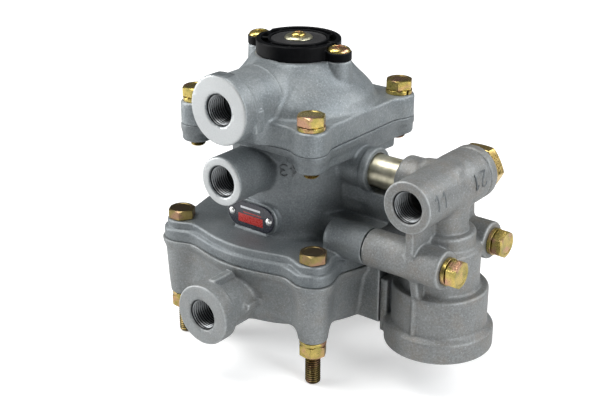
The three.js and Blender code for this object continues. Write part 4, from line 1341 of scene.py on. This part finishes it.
def cast_numbers():
    def on_column(u, v):
        radius = COLUMN_RADIUS + 0.1
        angle = 0.525 + u / radius
        return (radius * math.sin(angle), -radius * math.cos(angle), 80.6 + v)

    def on_cylinder(y_centre, radius):
        def to_surface(u, v):
            angle = 0.24 + v / radius
            return (VALVE_X + radius * math.cos(angle), y_centre + u, CROSS_Z + radius * math.sin(angle))

        return to_surface

    cast_number("port_number_43", "43", 6.2, on_column, True, DIGIT_SHADED_CAST)
    cast_number("port_number_11", "11", 7.5, on_cylinder(-23, 12.95), False, DIGIT_SHADED_CAST)
    cast_number("port_number_21", "21", 7.5, on_cylinder(9.5, 14.05), True, DIGIT_SHADED_CAST)


# Inside: pistons, valve and springs

PISTON_PLAY = 0.4
GROOVE_DEPTH = 2.6


def turned_piece(node, profile, look, body, at=(0, 0, 0), closed=True, edge=0.3):
    turned = lathe(f"{node}_turned", profile, edge, 72, closed=closed)
    finish(place(turned, at), look, node, body=body)


def piston_profile(bore, bottom, top, hub):
    """The half section of a piston head with its seal groove, read upwards on the outside."""
    radius = bore - PISTON_PLAY
    centre = (bottom + top) / 2
    groove = radius - GROOVE_DEPTH
    return [
        [hub, bottom], [radius, bottom], [radius, centre - 1.2], [groove, centre - 1.2],
        [groove, centre + 1.2], [radius, centre + 1.2], [radius, top], [hub, top],
    ]


def seal_piece(node, bore, body, at=(0, 0)):
    left, right = ends(node, "x")
    inner = bore - PISTON_PLAY - GROOVE_DEPTH + 0.2
    ring = o_ring(f"{node}_ring", inner, (right - left) / 2, 1.0)
    finish(place(ring, (*at, middle(node)[2])), RUBBER, node, body=body)


def coil(node, radius, wire, coils, at=(0, 0)):
    """A compression spring that fills its node from end to end."""
    bottom, top = ends(node)
    start, end = bottom + wire, top - wire
    turn = np.linspace(0, 1, coils * 40 + 1)
    section = np.linspace(0, 2 * np.pi, 12, endpoint=False)
    stations = []
    for t in turn:
        angle = 2 * math.pi * coils * t
        # The end coils lie nearly flat.
        rise = (t - 0.06 * math.sin(2 * math.pi * t)) * (end - start)
        spread = radius + wire * np.cos(section)
        height = start + rise + wire * np.sin(section)
        ring = [spread * math.cos(angle) + at[0], spread * math.sin(angle) + at[1], height]
        stations.append(np.stack(ring, 1)[::-1])
    obj = sweep(f"{node}_coil", stations)
    finish(obj, SPRING, node)
    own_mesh(obj)


def inside():
    bottom, top = ends("service_piston")
    head = piston_profile(38, bottom, bottom + 8, 4)[:-1]
    head += [[10, bottom + 8], [9, bottom + 9], [9, top], [7.5, top], [7.5, top - 1], [4, top - 1]]
    turned_piece("service_piston", head, TURNED, "service_piston")
    seal_piece("service_piston_seal", 38, "service_piston")

    disc, tip = ends("relay_valve")
    profile = [[6, disc], [15.5, disc], [15.5, disc + 4], [10, disc + 4], [9, disc + 5]]
    profile += [[9, tip - 1], [8.2, tip], [6, tip]]
    turned_piece("relay_valve", profile, STEEL, "relay_valve")
    bottom, top = ends("relay_valve_guide")
    shoulder = bottom + 4
    profile = [[9.5, bottom], [18.6, bottom], [18.6, shoulder], [20.1, shoulder], [20.1, top], [9.5, top]]
    turned_piece("relay_valve_guide", profile, TURNED, "housing")

    hub = 9.5
    bottom, top = ends("hand_brake_piston")
    turned_piece("hand_brake_piston", piston_profile(20.5, bottom, top, hub), TURNED, "hand_brake_piston")
    seal_piece("hand_brake_piston_seal", 20.5, "hand_brake_piston")
    bottom, top = ends("control_piston")
    head = piston_profile(33, bottom, bottom + 6, hub)[:-1]
    head += [[15, bottom + 6], [14, bottom + 7], [14, top], [hub, top]]
    turned_piece("control_piston", head, TURNED, "control_piston")
    seal_piece("control_piston_seal", 33, "control_piston")

    at = (VALVE_X, 0, 0)
    bottom, top = ends("shutoff_piston")
    head = piston_profile(20, bottom, bottom + 5.5, 0)[:-1]
    collar = bottom + 20
    head += [[7, bottom + 5.5], [6, bottom + 6.5], [6, collar], [11.4, collar], [11.4, collar + 6]]
    head += [[6, collar + 6], [6, top - 0.6], [5.4, top], [0, top]]
    turned_piece("shutoff_piston", head, TURNED, "shutoff_piston", at, closed=False)
    seal_piece("shutoff_piston_seal", 20, "shutoff_piston", (VALVE_X, 0))
    bottom, top = ends("shutoff_closing_plate")
    plate = [[0, bottom + 0.5], [9, bottom + 0.5], [9.5, bottom], [19.6, bottom], [19.6, top], [0, top]]
    turned_piece("shutoff_closing_plate", plate, TURNED, "housing", at, closed=False)

    coil("service_piston_spring", 15, 1.2, 4)
    coil("relay_valve_spring", 12.5, 1.1, 3)
    coil("shutoff_spring", 13, 1.2, 3, (VALVE_X, 0))
    snap_ring()


def snap_ring():
    """An inside snap ring: a flat bar bent round, open at the front, with eyes for the pliers."""
    bottom, top = ends("shutoff_snap_ring")
    section = round_corners([(18.3, bottom), (21.0, bottom), (21.0, top), (18.3, top)], 0.2, closed=True)
    opening = 0.17
    stations = []
    for angle in np.linspace(-math.pi / 2 + opening, 1.5 * math.pi - opening, 97):
        ring = [(r * math.cos(angle) + VALVE_X, r * math.sin(angle), h) for r, h in section]
        stations.append(np.array(ring))
    band = sweep("snap_ring_band", stations)
    eye_section = [[0.9, bottom], [2.4, bottom], [2.4, top], [0.9, top]]
    eyes = []
    for side in (-1, 1):
        eye = lathe(f"snap_ring_eye_{side}", eye_section, 0.15, 32, closed=True)
        eyes.append(place(eye, (VALVE_X + side * 4.6, -17.0, 0)))
    piece = join("shutoff_snap_ring_bent", band, *eyes)
    piece.data.set_sharp_from_angle(angle=math.radians(35))
    finish(piece, SPRING, "shutoff_snap_ring")


# Stage

def stage():
    centre = (Vector(cad_box[0]) + Vector(cad_box[1])) / 2
    ground = cad_box[0][2] - 0.0003
    size = 60.0
    corners = [(x * size, y * size, ground) for x, y in ((-1, -1), (1, -1), (1, 1), (-1, 1))]
    mesh = bpy.data.meshes.new("floor")
    mesh.from_pydata(corners, [], [(0, 1, 2, 3)])
    floor = bpy.data.objects.new("floor", mesh)
    bpy.context.scene.collection.objects.link(floor)
    mesh.materials.append(pale_floor("pale_floor"))

    def softbox(name, direction, distance, size, power, colour=(1, 1, 1)):
        light = bpy.data.lights.new(name, "AREA")
        light.shape = "RECTANGLE"
        light.size, light.size_y = size
        light.energy = power
        light.color = colour
        lamp = bpy.data.objects.new(name, light)
        toward = Vector(direction).normalized()
        lamp.location = centre + toward * distance
        lamp.rotation_euler = toward.to_track_quat("Z", "Y").to_euler()
        bpy.context.scene.collection.objects.link(lamp)

    softbox("key_softbox", (-0.30, -0.25, 1.0), 0.9, (0.5, 0.5), 6.6, (1.0, 0.99, 0.97))
    softbox("right_softbox", (1.0, -0.15, 0.45), 1.0, (0.4, 0.7), 7.0, (0.97, 0.985, 1.0))
    softbox("left_softbox", (-1.0, -0.60, 0.38), 1.0, (0.3, 0.8), 7.8)
    softbox("back_softbox", (0.9, 0.8, 0.9), 1.1, (0.6, 0.6), 6.0)

    world = bpy.data.worlds.new("studio")
    world.use_nodes = True
    background = world.node_tree.nodes["Background"]
    background.inputs["Color"].default_value = (0.93, 0.96, 1.0, 1)
    background.inputs["Strength"].default_value = 0.08
    bpy.context.scene.world = world
    bpy.context.scene.view_settings.view_transform = "Standard"

    azimuth, elevation = math.radians(38.38), math.radians(22.91)
    back = Vector((
        math.sin(azimuth) * math.cos(elevation),
        -math.cos(azimuth) * math.cos(elevation),
        math.sin(elevation),
    ))
    lens = bpy.data.cameras.new("camera")
    lens.sensor_width = 36
    lens.lens = 70.1
    camera = bpy.data.objects.new("camera", lens)
    camera.location = (0.3618, -0.4557, 0.2958)
    camera.rotation_euler = back.to_track_quat("Z", "Y").to_euler()
    bpy.context.scene.collection.objects.link(camera)
    bpy.context.scene.camera = camera


top_cover()
middle_body()
base_housing()
shutoff_body()
PORTS = {"cover": COVER_PORT, "43": PORT_43, "base": BASE_PORT, "22": PORT_22, "11": PORT_11}
for port_name, port in PORTS.items():
    port_thread(f"port_thread_{port_name}", port)
fasteners()
connections()
vent_cap()
label()
cast_numbers()
inside()
stage()
